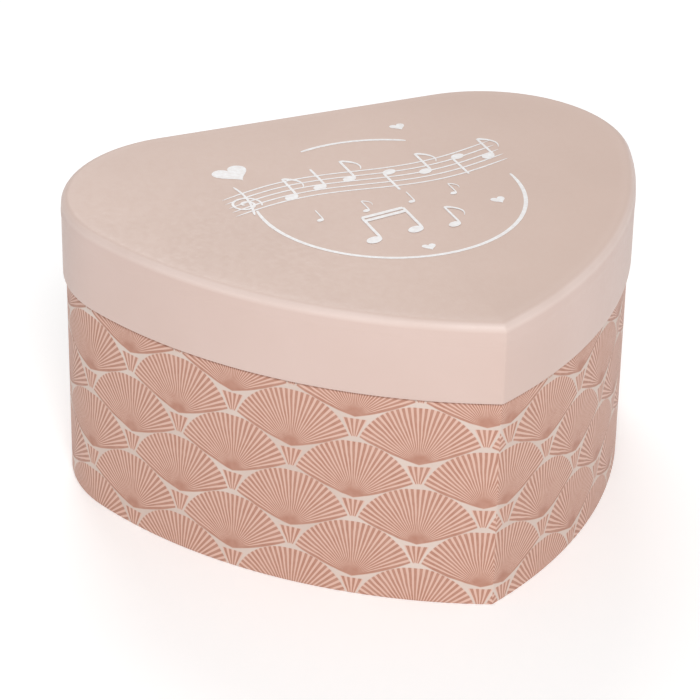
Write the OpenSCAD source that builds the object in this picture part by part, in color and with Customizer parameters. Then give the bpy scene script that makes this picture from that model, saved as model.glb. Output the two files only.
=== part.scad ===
// Wind up music box: a heart shaped board box with a flat back, a hinged lid,
// a small stage with a turning dancer, and a spring driven comb movement.

/* [Box] */
// Width across the lid
box_width = 180; // [150:1:220]
// Length of the straight back, where the hinge is
back_flat = 93; // [70:1:110]
// Radius of the long curved sides
side_radius = 156; // [140:1:200]
// Angle at which the back corner arc runs into the side arc
lobe_turn = -18.64; // [-24:0.01:-14]
// Height of the base
base_height = 66.5; // [60:0.5:90]
// Thickness of the wall board
wall = 2.5; // [2:0.1:4]
// Thickness of the floor board
floor_thick = 2.5; // [2:0.1:4]
// Thickness of the inner liner
collar_thick = 1.5; // [1:0.1:2.5]
// How far the liner stands above the rim
collar_rise = 8; // [4:0.5:10]
// Half length of the gap left in the liner at the back
collar_gap = 44; // [38:1:46]

/* [Lid] */
// Height of the lid
lid_height = 26.5; // [22:0.5:40]
// How far the lid stands out past the base all round
lid_overhang = 1; // [0.5:0.1:2]
// Gap between the lid's edge and the rim
lid_gap = 0.3; // [0.2:0.05:0.8]
// Thickness of the lid's top board
lid_top_thick = 2; // [1.5:0.1:3]
// Height of the softened top edge
lid_edge = 0.8; // [0.4:0.1:1.2]
// Thickness of the flocked lining
lining_thick = 1; // [0.6:0.1:2]
// Distance from the wall line to the mirror's edge
mirror_inset = 24; // [18:1:34]
// Thickness of the mirror
mirror_thick = 1.6; // [1:0.1:3]
// Width of the mirror's frame
mirror_frame_wide = 3; // [2:0.5:6]
// Thickness of the cloth hinge
hinge_thick = 0.4; // [0.3:0.05:0.8]
// Half length of the cloth hinge
hinge_half = 43; // [30:1:45]
// Height of each hinge leaf
hinge_leaf = 12; // [8:1:20]

/* [Stage and compartments] */
// Half width of the housing round the movement
housing_half = 31; // [31:0.5:40]
// Depth of the housing from the back wall
housing_deep = 65; // [64:0.5:75]
// Thickness of the housing board
housing_wall = 1.6; // [1.2:0.1:2.5]
// Height of the underside of the stage
stage_z = 32.5; // [32:0.5:36]
// Thickness of the stage board
stage_thick = 2; // [1.5:0.1:3]
// Thickness of the velvet pad
pad_thick = 4; // [2:0.5:8]
// Gap between the pad and the walls
pad_gap = 0.5; // [0.3:0.1:1.5]
// Width of the ribbon
ribbon_wide = 8; // [5:0.5:12]

/* [Movement] */
// Height of every main arbor above the ground
arbor_z = 18.5; // [18:0.1:20]
// Thickness of the cast bedplate
bed_thick = 2.5; // [2:0.1:3]
// Distance sideways from the cylinder to the winding arbor
arbor_offset = 15; // [15:0.1:15]
// Radius of the winding arbor
wind_r = 1.8; // [1.5:0.05:2.2]
// Radius of the cylinder's arbor
cyl_arbor_r = 1.25; // [1:0.05:1.6]
// Radius of the second arbor
second_r = 0.8; // [0.6:0.05:1]
// Radius of the worm's pivots
worm_pivot_r = 0.6; // [0.5:0.05:0.8]
// Radial running clearance of every arbor in its bearing
run_fit = 0.05; // [0.02:0.01:0.1]
// Outer radius of the spring barrel
barrel_r = 10.5; // [9.5:0.1:11]
// Length of the spring barrel
barrel_long = 10; // [8:0.5:11]
// Wall of the spring barrel
barrel_wall = 0.6; // [0.5:0.1:1]
// Turns of the mainspring
spring_turns = 5; // [3:1:7]
// Outer radius of the pinned cylinder
cyl_r = 6.5; // [6:0.1:7]
// Length of the pinned cylinder
cyl_long = 19; // [18.5:0.1:19.2]
// Wall of the pinned cylinder
cyl_wall = 0.6; // [0.5:0.1:1]
// How far the pins stand out
pin_out = 0.8; // [0.5:0.1:1]
// Radius of a pin
pin_r = 0.2; // [0.15:0.01:0.25]
// Gap between the sweep of the pins and the comb tips
comb_clear = 0.35; // [0.3:0.05:0.6]
// Number of comb teeth
comb_teeth = 18; // [12:1:18]
// Thickness of the comb
comb_thick = 1.2; // [1:0.1:1.6]
// Radius swept by the fan
fan_r = 6; // [5:0.1:6]
// Gap between the fan's sweep and the stop wire
stop_clear = 0.35; // [0.3:0.05:0.6]
// Travel of the stop pin
stop_travel = 5; // [3:0.5:5]

/* [Key] */
// How far the key stands out behind the box
key_out = 21; // [18:0.5:30]
// Radius of the key's hub
key_hub_r = 3.5; // [3:0.1:4.5]
// Radius of each wing of the key
key_wing_r = 6.5; // [5:0.1:7]
// Thickness of the key's wings
key_wing_thick = 2.2; // [1.5:0.1:3]
// Radial gap round the arbor in the wall grommet
key_clear = 0.4; // [0.3:0.05:0.8]

/* [Dancer] */
// Radius of the dancer's disc
disc_r = 9; // [7:0.5:10]
// Height of the figure above its spring
dancer_high = 38; // [30:1:40]
// Radius of the skirt
tutu_r = 9; // [7:0.5:11]

/* [Hidden] */
$fn = 96;

// plan outline: two back corner arcs and two long side arcs that meet at the front
L0 = back_flat / 2;
R1 = box_width / 2 - lid_overhang - L0;
// the flats and long arcs lie this far inside the corner arcs, so that they cross cleanly
blend = 0.02;
side_cx = (side_radius - R1) * cos(lobe_turn) - L0;
side_dy = -R1 - (side_radius - R1) * sin(lobe_turn);
function tip_drop(d) = -side_dy + sqrt(pow(side_radius + d, 2) - pow(side_cx, 2));
back_y = (tip_drop(lid_overhang) - key_out) / 2;
in_y = back_y - wall - blend;
lid_z = base_height + lid_gap;
top_z = base_height + lid_height;
lining_z = top_z - lid_top_thick - lining_thick;
hinge_y = back_y + lid_overhang;
bed_z = floor_thick + bed_thick;
liner_in = wall + collar_thick;

// gear train
great_n = 40;
great_m = 0.6;
cylpin_n = 10;
wheel_n = 36;
wheel_m = 0.4;
second_n = 9;
worm_n = 30;
drive_n = 12;
drive_m = 0.5;
crown_n = 24;
second_dist = wheel_m * (wheel_n + second_n) / 2;
second_turn = 225;
second_x = second_dist * cos(second_turn);
second_z = arbor_z + second_dist * sin(second_turn);
worm_pitch_r = 1.6;
worm_lead = PI * wheel_m;
fan_x = second_x - (wheel_m * worm_n / 2 + worm_pitch_r);
fan_v = 53.7;
fan_z0 = 19.2;
fan_z1 = 26.2;
drive_v = 50.1;
spindle_v = drive_v + drive_m * crown_n / 2 - 0.1;
barrel_v = 10;
great_v = barrel_v + barrel_long;
cyl_v = 25.5;
cyl_end = cyl_v + cyl_long;
comb_x = cyl_r + pin_out + comb_clear;
comb_v = 26.2;
comb_pitch = 1.0;
comb_wide = comb_teeth * comb_pitch + 0.2;
stop_x = -24;
stop_v = 6;
wire_z = 24.2;
stop_top = base_height - 2.5;
disc_z = stage_z + stage_thick + 0.7;
foot_z = disc_z + 1.5 + 4.4;

// fills the plan outline, moved outward by d
module outline(d) {
    yc = back_y - R1;
    yt = yc + (R1 + d) * sin(lobe_turn);
    union() {
        translate([L0, yc]) circle(r = R1 + d);
        translate([-L0, yc]) circle(r = R1 + d);
        translate([-L0, yt - 5]) square([2 * L0, back_y + d - blend - yt + 5]);
        intersection() {
            translate([-side_cx, back_y + side_dy]) circle(r = side_radius + d - blend);
            translate([side_cx, back_y + side_dy]) circle(r = side_radius + d - blend);
            translate([-200, yt - 400]) square([400, 400]);
        }
    }
}

module prism(d, z0, z1) {
    translate([0, 0, z0]) linear_extrude(height = z1 - z0) outline(d);
}

module ring(d_out, d_in, z0, z1) {
    translate([0, 0, z0]) linear_extrude(height = z1 - z0) difference() {
        outline(d_out);
        outline(d_in);
    }
}

// places an extrusion that starts v behind the inside of the back wall and runs forward
module along(x, v, z) {
    translate([x, in_y - v, z]) rotate([90, 0, 0]) children();
}

module rod(x, v0, v1, z, r) {
    along(x, v0, z) cylinder(r = r, h = v1 - v0);
}

module slab(x0, x1, v0, v1, z0, z1) {
    translate([x0, in_y - v1, z0]) cube([x1 - x0, v1 - v0, z1 - z0]);
}

module screw(x, v, z, head_r, head_h, r, h) {
    translate([x, in_y - v, z]) {
        difference() {
            cylinder(r = head_r, h = head_h);
            translate([-head_r, -0.25, head_h - 0.5]) cube([2 * head_r, 0.5, 1]);
        }
        translate([0, 0, -h]) cylinder(r = r, h = h);
    }
}

module hole(x, v, z, r, h) {
    translate([x, in_y - v, z]) cylinder(r = r, h = h);
}

// toothed wheel outline with straight sided teeth, turned so that a tooth points at a
module gear(n, m, tip, root, w, wt, a) {
    rp = n * m / 2;
    polygon([for (i = [0 : n - 1], k = [0 : 5])
        let (r = [rp - root, rp, rp + tip, rp + tip, rp, rp - root][k],
            f = [-w / 2, -w / 2, -wt / 2, wt / 2, w / 2, w / 2][k],
            t = a + (i + f) * 360 / n)
        [r * cos(t), r * sin(t)]]);
}

// ---- case ----

module base_wall() color([0.86, 0.71, 0.65]) {
    difference() {
        ring(0, -wall, 0, base_height);
        rod(arbor_offset, -wall - 1, 1, arbor_z, wind_r + key_clear + 1);
    }
}

module base_floor() color([0.80, 0.70, 0.62]) {
    difference() {
        prism(-wall, 0, floor_thick);
        for (p = bed_holes) hole(p[0], p[1], 0.9, 1.2, 4);
    }
}

module base_collar() color([0.93, 0.87, 0.84]) {
    difference() {
        ring(-wall, -liner_in, floor_thick, base_height + collar_rise);
        slab(-collar_gap, collar_gap, -1, 12, 0, 100);
    }
}

module hinge_leaf_lower() color([0.86, 0.77, 0.72]) {
    translate([-hinge_half, back_y - blend, base_height - 0.4 - hinge_leaf])
        cube([2 * hinge_half, hinge_thick, hinge_leaf]);
}

module ribbon_stay() color([0.90, 0.70, 0.68]) {
    translate([-(L0 + R1 - liner_in) + 0.5, back_y - R1 - ribbon_wide / 2, base_height - 20])
        cube([0.8, ribbon_wide, 18]);
}

module jewel_pad() color([0.80, 0.55, 0.54]) {
    difference() {
        prism(-liner_in - pad_gap, floor_thick, floor_thick + pad_thick);
        slab(-housing_half - housing_wall - pad_gap, housing_half + housing_wall + pad_gap,
            -1, housing_deep + housing_wall + pad_gap, 0, 20);
        slab(-collar_gap - 1, collar_gap + 1, -5, pad_gap, 0, 20);
    }
}

module movement_housing() color([0.92, 0.84, 0.80]) {
    o = housing_half + housing_wall;
    difference() {
        slab(-o, o, 0, housing_deep + housing_wall, floor_thick, stage_z);
        slab(-housing_half, housing_half, -1, housing_deep, 0, 50);
    }
}

module stage_board() color([0.86, 0.76, 0.72]) {
    o = housing_half + housing_wall + 0.6;
    difference() {
        slab(-o, o, 0, housing_deep + housing_wall + 0.6, stage_z, stage_z + stage_thick);
        hole(0, spindle_v, 0, 3, 60);
        hole(stop_x, stop_v, 0, 1.6, 60);
    }
}

module spindle_bush() color([0.80, 0.62, 0.30]) {
    difference() {
        translate([0, in_y - spindle_v, 0]) {
            translate([0, 0, stage_z]) cylinder(r = 3, h = stage_thick);
            translate([0, 0, stage_z - 0.6]) cylinder(r = 4, h = 0.6);
        }
        hole(0, spindle_v, 0, cyl_arbor_r + run_fit, 60);
    }
}

bed_holes = [[-18.5, 40], [-18.5, 10], [26.5, 14.6], [26.5, 52]];

module bedplate() color([0.72, 0.72, 0.70]) {
    difference() {
        union() {
            slab(-21.5, 29.5, 3, 63.5, floor_thick, bed_z);
            hole(0, spindle_v, bed_z, 2.6, 2);
        }
        hole(0, spindle_v, bed_z + 0.5, cyl_arbor_r + run_fit, 4);
        for (p = bed_holes) hole(p[0], p[1], 0, 1.2, 10);
        for (p = bridge_holes) hole(p[0], p[1], 0, 0.8, 10);
        hole(fan_x - 0.4, 59, 0, 0.8, 10);
    }
}

module bedplate_screws() color([0.60, 0.60, 0.62]) {
    for (p = bed_holes) screw(p[0], p[1], bed_z, 2.2, 1.3, 1.2, bed_z - 0.9);
}

bridge_holes = [[5.4, 8.6], [24.6, 8.6], [arbor_offset, 26.6], [-0.7, 14],
    [-6.5, 43.2], [1, 43.2]];
foot_t = 1.6;

module barrel_bridge_rear() color([0.76, 0.76, 0.74]) {
    difference() {
        union() {
            slab(3, 27, 4.5, 6.5, bed_z, 29.5);
            for (x = [3, 22.2]) slab(x, x + 4.8, 6.5, 10.6, bed_z, bed_z + foot_t);
        }
        rod(arbor_offset, 0, 20, arbor_z, wind_r + run_fit);
        rod(arbor_offset + 5.79, 0, 20, arbor_z + 6.89, 0.9);
        for (i = [0, 1]) hole(bridge_holes[i][0], bridge_holes[i][1], 0, 0.8, 10);
    }
}

module barrel_bridge_front() color([0.76, 0.76, 0.74]) {
    difference() {
        union() {
            slab(9.5, 20.5, 22.9, 24.5, bed_z, 23);
            slab(12, 18, 24.5, 28.6, bed_z, bed_z + foot_t);
        }
        rod(arbor_offset, 20, 30, arbor_z, wind_r + run_fit);
        hole(arbor_offset, 26.6, 0, 0.8, 10);
    }
}

module cylinder_bridge_rear() color([0.76, 0.76, 0.74]) {
    difference() {
        union() {
            slab(-5, 3.6, 16, 17.4, bed_z, 22);
            slab(-5, 3.6, 11.9, 16, bed_z, bed_z + foot_t);
        }
        rod(0, 10, 20, arbor_z, cyl_arbor_r + run_fit);
        hole(-0.7, 14, 0, 0.8, 10);
    }
}

module cylinder_bridge_front() color([0.76, 0.76, 0.74]) {
    difference() {
        union() {
            slab(-9.6, 4, 45.2, 46.4, bed_z, 22);
            slab(-9.6, 4, 41.2, 45.2, bed_z, bed_z + foot_t);
        }
        rod(0, 40, 50, arbor_z, cyl_arbor_r + run_fit);
        rod(second_x, 40, 50, second_z, second_r + run_fit);
        for (i = [4, 5]) hole(bridge_holes[i][0], bridge_holes[i][1], 0, 0.8, 10);
    }
}

module bridge_screws() color([0.60, 0.60, 0.62]) {
    for (p = bridge_holes) screw(p[0], p[1], bed_z + foot_t, 1.4, 1, 0.8, foot_t + bed_thick);
}

module comb() color([0.78, 0.79, 0.80]) {
    difference() {
        union() {
            slab(21, 28.5, comb_v, comb_v + comb_wide, arbor_z - comb_thick / 2, arbor_z + comb_thick / 2);
            for (i = [0 : comb_teeth - 1])
                slab(comb_x, 21.5, comb_v + 0.2 + i * comb_pitch, comb_v + 0.9 + i * comb_pitch,
                    arbor_z - comb_thick / 2, arbor_z + comb_thick / 2);
        }
        for (i = [-1 : 1]) hole(25, comb_v + comb_wide / 2 + i * 6, 0, 1, 60);
    }
}

module comb_base() color([0.72, 0.72, 0.70]) {
    difference() {
        slab(21, 29, comb_v, comb_v + comb_wide, bed_z, arbor_z - comb_thick / 2);
        for (i = [-1 : 1]) hole(25, comb_v + comb_wide / 2 + i * 6, arbor_z - 5, 1, 10);
    }
}

module comb_screws() color([0.60, 0.60, 0.62]) {
    for (i = [-1 : 1]) screw(25, comb_v + comb_wide / 2 + i * 6, arbor_z + comb_thick / 2,
        2, 1.3, 1, 5 + comb_thick / 2);
}

module governor_cage() color([0.80, 0.64, 0.34]) {
    difference() {
        union() {
            slab(fan_x - 3.4, -11, 50.6, 63, bed_z, bed_z + 2);
            slab(fan_x - 3.4, -11, 61.3, 63, bed_z + 1, 30);
            slab(fan_x - 2.4, fan_x + 2.4, fan_v - 2.4, 62, 28.4, 30);
            slab(-12, -3.6, 57, 58.2, bed_z, second_z + 2.4);
        }
        hole(fan_x, fan_v, bed_z + 0.6, worm_pivot_r + run_fit, 50);
        rod(second_x, 50, 60, second_z, second_r + run_fit);
        hole(fan_x - 0.4, 59, 0, 0.8, 10);
    }
}

module governor_screw() color([0.60, 0.60, 0.62]) {
    screw(fan_x - 0.4, 59, bed_z + 2, 1.4, 1, 0.8, 2 + bed_thick);
}

module key_escutcheon() color([0.80, 0.62, 0.30]) {
    difference() {
        union() {
            rod(arbor_offset, -wall - 0.8, -wall, arbor_z, 6.5);
            rod(arbor_offset, -wall, 0, arbor_z, wind_r + key_clear + 1);
        }
        rod(arbor_offset, -5, 1, arbor_z, wind_r + key_clear);
    }
}

module stop_pin_guide() color([0.80, 0.62, 0.30]) {
    difference() {
        union() {
            hole(stop_x, stop_v, 42, 2.2, 16);
            slab(stop_x - 1.4, stop_x + 1.4, 0, stop_v, 47, 53);
            slab(stop_x - 4, stop_x + 4, 0, 1, 44, 56);
        }
        hole(stop_x, stop_v, 40, 1 + run_fit, 20);
    }
}

module click_screw() color([0.60, 0.60, 0.62]) {
    rod(arbor_offset + 5.79, 4.5, 8.4, arbor_z + 6.89, 0.9);
    rod(arbor_offset + 5.79, 8.4, 9, arbor_z + 6.89, 1.7);
}

module click_spring() color([0.70, 0.70, 0.72]) {
    translate([0, 0, 0]) {
        slab(arbor_offset + 8.6, arbor_offset + 11.2, 6.5, 8.1, 27.6, 29.2);
        slab(arbor_offset + 2.6, arbor_offset + 8.6, 6.9, 7.7, 28.4, 28.8);
    }
}

// ---- lid ----

module lid_top() color([0.86, 0.78, 0.73]) {
    union() {
        prism(lid_overhang, top_z - lid_top_thick, top_z - lid_edge);
        prism(lid_overhang - lid_edge, top_z - lid_edge, top_z);
    }
}

module lid_skirt() color([0.88, 0.81, 0.77]) {
    ring(lid_overhang, lid_overhang - wall, lid_z, top_z - lid_top_thick);
}

module lid_lining() color([0.80, 0.55, 0.54]) {
    difference() {
        prism(lid_overhang - wall, lining_z, lining_z + lining_thick);
        prism(-mirror_inset, lining_z - 1, lining_z + lining_thick + 1);
    }
}

module mirror_glass() color([0.75, 0.80, 0.82]) {
    prism(-mirror_inset, lining_z + lining_thick - mirror_thick, lining_z + lining_thick);
}

module mirror_frame() color([0.83, 0.66, 0.42]) {
    ring(-mirror_inset + mirror_frame_wide, -mirror_inset, lining_z - 1, lining_z);
}

module stop_presser() color([0.92, 0.84, 0.80]) {
    union() {
        slab(stop_x - 3, stop_x + 3, -lid_overhang, 1, base_height + 0.5, base_height + 3.5);
        slab(stop_x - 3, stop_x + 3, 1, 8, stop_top + 0.3, base_height + 3.5);
    }
}

module hinge_leaf_upper() color([0.86, 0.77, 0.72]) {
    translate([-hinge_half, back_y + lid_overhang - blend, lid_z + 0.3])
        cube([2 * hinge_half, hinge_thick, hinge_leaf]);
}

// ---- key and click ----

module winding_key() color([0.80, 0.68, 0.40]) {
    difference() {
        union() {
            along(arbor_offset, -wall - 1.3, arbor_z) rotate([180, 0, 0]) cylinder(r = key_hub_r, h = 12);
            translate([arbor_offset, back_y + key_out - key_wing_r, arbor_z - key_wing_thick / 2]) {
                for (s = [-1, 1]) translate([s * 7.4, 0, 0]) cylinder(r = key_wing_r, h = key_wing_thick);
                translate([-7.4, -2.5, 0]) cube([14.8, 5, key_wing_thick]);
            }
        }
        for (s = [-1, 1])
            translate([arbor_offset + s * 8, back_y + key_out - key_wing_r, 0]) cylinder(r = 3, h = 50);
        rod(arbor_offset, -wall - 10, 0, arbor_z, wind_r);
    }
}

module winding_arbor() color([0.62, 0.62, 0.64]) {
    rod(arbor_offset, -wall - 10, 24.9, arbor_z, wind_r);
    rod(arbor_offset, barrel_v + 0.4, great_v - 0.4, arbor_z, 3);
}

module ratchet_wheel() color([0.66, 0.66, 0.68]) {
    along(arbor_offset, 7, arbor_z) difference() {
        linear_extrude(height = 1.3) polygon([for (i = [0 : 11], k = [0, 1])
            let (r = k == 0 ? 4.2 : 5.2, t = i * 30 + (k == 0 ? -0.4 : 0.4))
            [r * cos(t), r * sin(t)]]);
        translate([0, 0, -1]) cylinder(r = wind_r, h = 4);
    }
}

module click_pawl() color([0.66, 0.66, 0.68]) {
    along(arbor_offset, 7, arbor_z) difference() {
        union() {
            linear_extrude(height = 1.3) polygon([[0.2, 4.4], [1.9, 5.35], [5, 5.75],
                [6.3, 8.1], [4.6, 7.8], [0.9, 6.3], [0.17, 5.4]]);
            translate([5.79, 6.89, 0]) cylinder(r = 1.6, h = 1.3);
        }
        translate([5.79, 6.89, -1]) cylinder(r = 0.9 + run_fit, h = 4);
    }
}

// ---- spring barrel ----

module spring_barrel() color([0.82, 0.66, 0.32]) {
    difference() {
        rod(arbor_offset, barrel_v, great_v, arbor_z, barrel_r);
        rod(arbor_offset, barrel_v - 1, great_v + 1, arbor_z, barrel_r - barrel_wall);
    }
}

module barrel_cover() color([0.82, 0.66, 0.32]) {
    difference() {
        rod(arbor_offset, barrel_v - 0.8, barrel_v, arbor_z, barrel_r);
        rod(arbor_offset, 0, 30, arbor_z, wind_r + run_fit);
    }
}

module great_wheel() color([0.82, 0.66, 0.32]) {
    along(arbor_offset, great_v, arbor_z) difference() {
        linear_extrude(height = 1.6) gear(great_n, great_m, 0.5, 0.6, 0.38, 0.14, 180);
        translate([0, 0, -1]) cylinder(r = wind_r + run_fit, h = 4);
    }
}

module mainspring() color([0.45, 0.47, 0.52]) {
    r0 = 4.2;
    step = (barrel_r - barrel_wall - 0.3 - r0) / (spring_turns * 20);
    n = spring_turns * 20;
    along(arbor_offset, barrel_v + 0.8, arbor_z) linear_extrude(height = barrel_long - 1.6)
        polygon(concat(
            [for (i = [0 : n]) let (r = r0 + i * step, t = i * 18) [r * cos(t), r * sin(t)]],
            [for (j = [0 : n]) let (i = n - j, r = r0 + i * step + 0.3, t = i * 18) [r * cos(t), r * sin(t)]]));
}

// ---- pinned cylinder ----

module tune_cylinder() color([0.84, 0.68, 0.34]) {
    difference() {
        rod(0, cyl_v, cyl_end, arbor_z, cyl_r);
        rod(0, cyl_v - 1, cyl_end + 1, arbor_z, cyl_r - cyl_wall);
    }
}

module cylinder_pins() color([0.70, 0.70, 0.72]) {
    for (i = [0 : comb_teeth - 1], k = [0 : 2])
        along(0, comb_v + 0.55 + i * comb_pitch, arbor_z)
            rotate([0, 0, i * 137.5 + k * 122 + 9]) translate([cyl_r - 0.4, 0, 0])
                rotate([0, 90, 0]) cylinder(r = pin_r, h = pin_out + 0.4, $fn = 6);
}

module cylinder_caps() color([0.78, 0.64, 0.36]) {
    difference() {
        union() {
            rod(0, cyl_v, cyl_v + 1, arbor_z, cyl_r - cyl_wall);
            rod(0, cyl_end - 1, cyl_end, arbor_z, cyl_r - cyl_wall);
        }
        rod(0, cyl_v - 1, cyl_end + 1, arbor_z, cyl_arbor_r);
    }
}

module cylinder_arbor() color([0.62, 0.62, 0.64]) {
    rod(0, 15.6, 52.4, arbor_z, cyl_arbor_r);
}

module cylinder_wheel() color([0.82, 0.66, 0.32]) {
    along(0, 47.2, arbor_z) difference() {
        linear_extrude(height = 1.2) gear(wheel_n, wheel_m, 0.34, 0.42, 0.38, 0.14, second_turn);
        translate([0, 0, -1]) cylinder(r = cyl_arbor_r, h = 4);
    }
}

module cylinder_pinion() color([0.66, 0.66, 0.68]) {
    along(0, great_v - 0.6, arbor_z) difference() {
        linear_extrude(height = 2.8) gear(cylpin_n, great_m, 0.4, 0.75, 0.36, 0.18, 18);
        translate([0, 0, -1]) cylinder(r = cyl_arbor_r, h = 5);
    }
}

module dancer_drive_pinion() color([0.66, 0.66, 0.68]) {
    along(0, drive_v - 0.9, arbor_z) difference() {
        linear_extrude(height = 1.8) gear(drive_n, drive_m, 0.4, 0.65, 0.36, 0.18, 90 + 15);
        translate([0, 0, -1]) cylinder(r = cyl_arbor_r, h = 5);
    }
}

// ---- second arbor and governor ----

module second_arbor() color([0.66, 0.66, 0.68]) {
    union() {
        rod(second_x, 44.9, 58.4, second_z, second_r);
        along(second_x, 46.9, second_z) linear_extrude(height = 1.8)
            gear(second_n, wheel_m, 0.28, 0.5, 0.36, 0.18, second_turn - 180 + 20);
    }
}

module worm_wheel() color([0.82, 0.66, 0.32]) {
    along(second_x, fan_v - 0.5, second_z) difference() {
        linear_extrude(height = 1) gear(worm_n, wheel_m, 0.34, 0.5, 0.34, 0.14, 180);
        translate([0, 0, -1]) cylinder(r = second_r, h = 4);
    }
}

module worm_spindle() color([0.66, 0.66, 0.68]) {
    z0 = second_z - 2.5 * worm_lead;
    a0 = -360 * (second_z + worm_lead / 2 - z0) / worm_lead;
    translate([fan_x, in_y - fan_v, 0]) union() {
        translate([0, 0, bed_z + 0.7]) cylinder(r = worm_pivot_r, h = 29.6 - bed_z - 0.7);
        translate([0, 0, z0 - 0.6]) cylinder(r = 1.1, h = 5 * worm_lead + 1.2);
        translate([0, 0, z0]) linear_extrude(height = 5 * worm_lead, twist = -1800, slices = 60, convexity = 6, $fn = 18)
            polygon([for (i = [0 : 17])
                let (t = i * 20, u = t > 180 ? 360 - t : t,
                    r = u < 34 ? 1.95 : (u > 86 ? 1.15 : 1.95 - 0.8 * (u - 34) / 52))
                [r * cos(t + a0), r * sin(t + a0)]]);
    }
}

module fan_blade() color([0.80, 0.66, 0.36]) {
    translate([fan_x, in_y - fan_v, fan_z0]) difference() {
        union() {
            cylinder(r = 1.4, h = fan_z1 - fan_z0);
            translate([-fan_r + 0.05, -0.2, 0]) cube([2 * fan_r - 0.1, 0.4, fan_z1 - fan_z0]);
        }
        translate([0, 0, -1]) cylinder(r = worm_pivot_r, h = 20);
    }
}

// ---- dancer ----

module dancer_spindle() color([0.62, 0.62, 0.64]) {
    translate([0, in_y - spindle_v, bed_z + 0.9]) cylinder(r = cyl_arbor_r, h = disc_z + 1 - bed_z - 0.9);
}

module crown_wheel() color([0.82, 0.66, 0.32]) {
    zp = arbor_z + drive_m * drive_n / 2;
    rc = drive_m * crown_n / 2;
    translate([0, in_y - spindle_v, 0]) difference() {
        union() {
            translate([0, 0, zp + 0.5]) cylinder(r = rc + 0.5, h = 1);
            translate([0, 0, zp + 1.5]) cylinder(r = 2.6, h = 3);
            for (i = [0 : crown_n - 1]) rotate([0, 0, i * 360 / crown_n]) translate([rc - 0.4, 0, zp])
                rotate([90, 0, 90]) linear_extrude(height = 0.8)
                    polygon([[-0.12, -0.35], [0.12, -0.35], [0.28, 0], [0.32, 0.6], [-0.32, 0.6], [-0.28, 0]]);
        }
        cylinder(r = cyl_arbor_r, h = 60);
    }
}

module dancer_disc() color([0.95, 0.90, 0.88]) {
    translate([0, in_y - spindle_v, disc_z]) difference() {
        cylinder(r = disc_r, h = 1.5);
        translate([0, 0, -1]) cylinder(r = cyl_arbor_r, h = 2);
    }
}

module dancer_spring() color([0.80, 0.62, 0.30]) {
    translate([0, in_y - spindle_v, disc_z + 1.5]) for (i = [0 : 3])
        translate([0, 0, 0.5 + i * 1.1]) rotate_extrude() translate([1.5, 0]) circle(r = 0.45, $fn = 24);
}

module dancer_body() color([0.93, 0.78, 0.70]) {
    k = dancer_high / 38;
    translate([0, in_y - spindle_v, foot_z]) union() {
        cylinder(r1 = 0.7 * k, r2 = 1.2 * k, h = 15 * k);
        translate([0, 0, 16 * k]) sphere(r = 2.4 * k, $fn = 48);
        translate([0, 0, 16 * k]) cylinder(r1 = 1.7 * k, r2 = 2.5 * k, h = 7.5 * k);
        translate([0, 0, 23 * k]) cylinder(r = 0.9 * k, h = 3.5 * k);
        translate([0, 0, 28.2 * k]) sphere(r = 2.7 * k, $fn = 48);
        translate([0, 1.2 * k, 31 * k]) sphere(r = 1.3 * k, $fn = 36);
        translate([0, 0, 28.6 * k]) rotate([90, 0, 0]) rotate_extrude()
            translate([5.9 * k, 0]) circle(r = 0.55 * k, $fn = 24);
        translate([0, 0, 22.7 * k]) rotate([90, 0, 90]) cylinder(r = 0.6 * k, h = 2.5 * k, center = true);
    }
}

module dancer_tutu() color([0.96, 0.82, 0.82]) {
    k = dancer_high / 38;
    translate([0, in_y - spindle_v, foot_z + 15.2 * k]) rotate_extrude()
        polygon([[2.45 * k, 0.6], [tutu_r, -0.9], [tutu_r, -0.4], [2.45 * k, 1.4]]);
}

// ---- stop pin ----

module stop_pin() color([0.66, 0.66, 0.68]) {
    union() {
        hole(stop_x, stop_v, floor_thick + 1.5, 1, stop_top - floor_thick - 1.5);
        hole(stop_x, stop_v, 13, 2.2, 1);
        rod(stop_x, stop_v, fan_v, wire_z, 0.5);
        translate([stop_x, in_y - fan_v, wire_z]) rotate([0, 90, 0])
            cylinder(r = 0.5, h = fan_x - fan_r - stop_clear - stop_x);
        translate([stop_x, in_y - fan_v, wire_z]) sphere(r = 0.5, $fn = 24);
    }
}

module stop_pin_spring() color([0.70, 0.70, 0.72]) {
    translate([stop_x, in_y - stop_v, floor_thick]) for (i = [0 : 6])
        translate([0, 0, 0.35 + i * 1.63]) rotate_extrude() translate([1.6, 0]) circle(r = 0.35, $fn = 20);
}

base_wall();
base_floor();
base_collar();
hinge_leaf_lower();
ribbon_stay();
jewel_pad();
movement_housing();
stage_board();
spindle_bush();
bedplate();
bedplate_screws();
barrel_bridge_rear();
barrel_bridge_front();
cylinder_bridge_rear();
cylinder_bridge_front();
bridge_screws();
comb();
comb_base();
comb_screws();
governor_cage();
governor_screw();
key_escutcheon();
stop_pin_guide();
click_screw();
click_spring();
lid_top();
lid_skirt();
lid_lining();
mirror_glass();
mirror_frame();
stop_presser();
hinge_leaf_upper();
winding_key();
winding_arbor();
ratchet_wheel();
click_pawl();
spring_barrel();
barrel_cover();
great_wheel();
mainspring();
tune_cylinder();
cylinder_pins();
cylinder_caps();
cylinder_arbor();
cylinder_wheel();
cylinder_pinion();
dancer_drive_pinion();
second_arbor();
worm_wheel();
worm_spindle();
fan_blade();
dancer_spindle();
crown_wheel();
dancer_disc();
dancer_spring();
dancer_body();
dancer_tutu();
stop_pin();
stop_pin_spring();
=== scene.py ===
import math

import bmesh
import bpy
import numpy as np
from mathutils import Matrix, Vector
from mathutils.bvhtree import BVHTree


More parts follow.
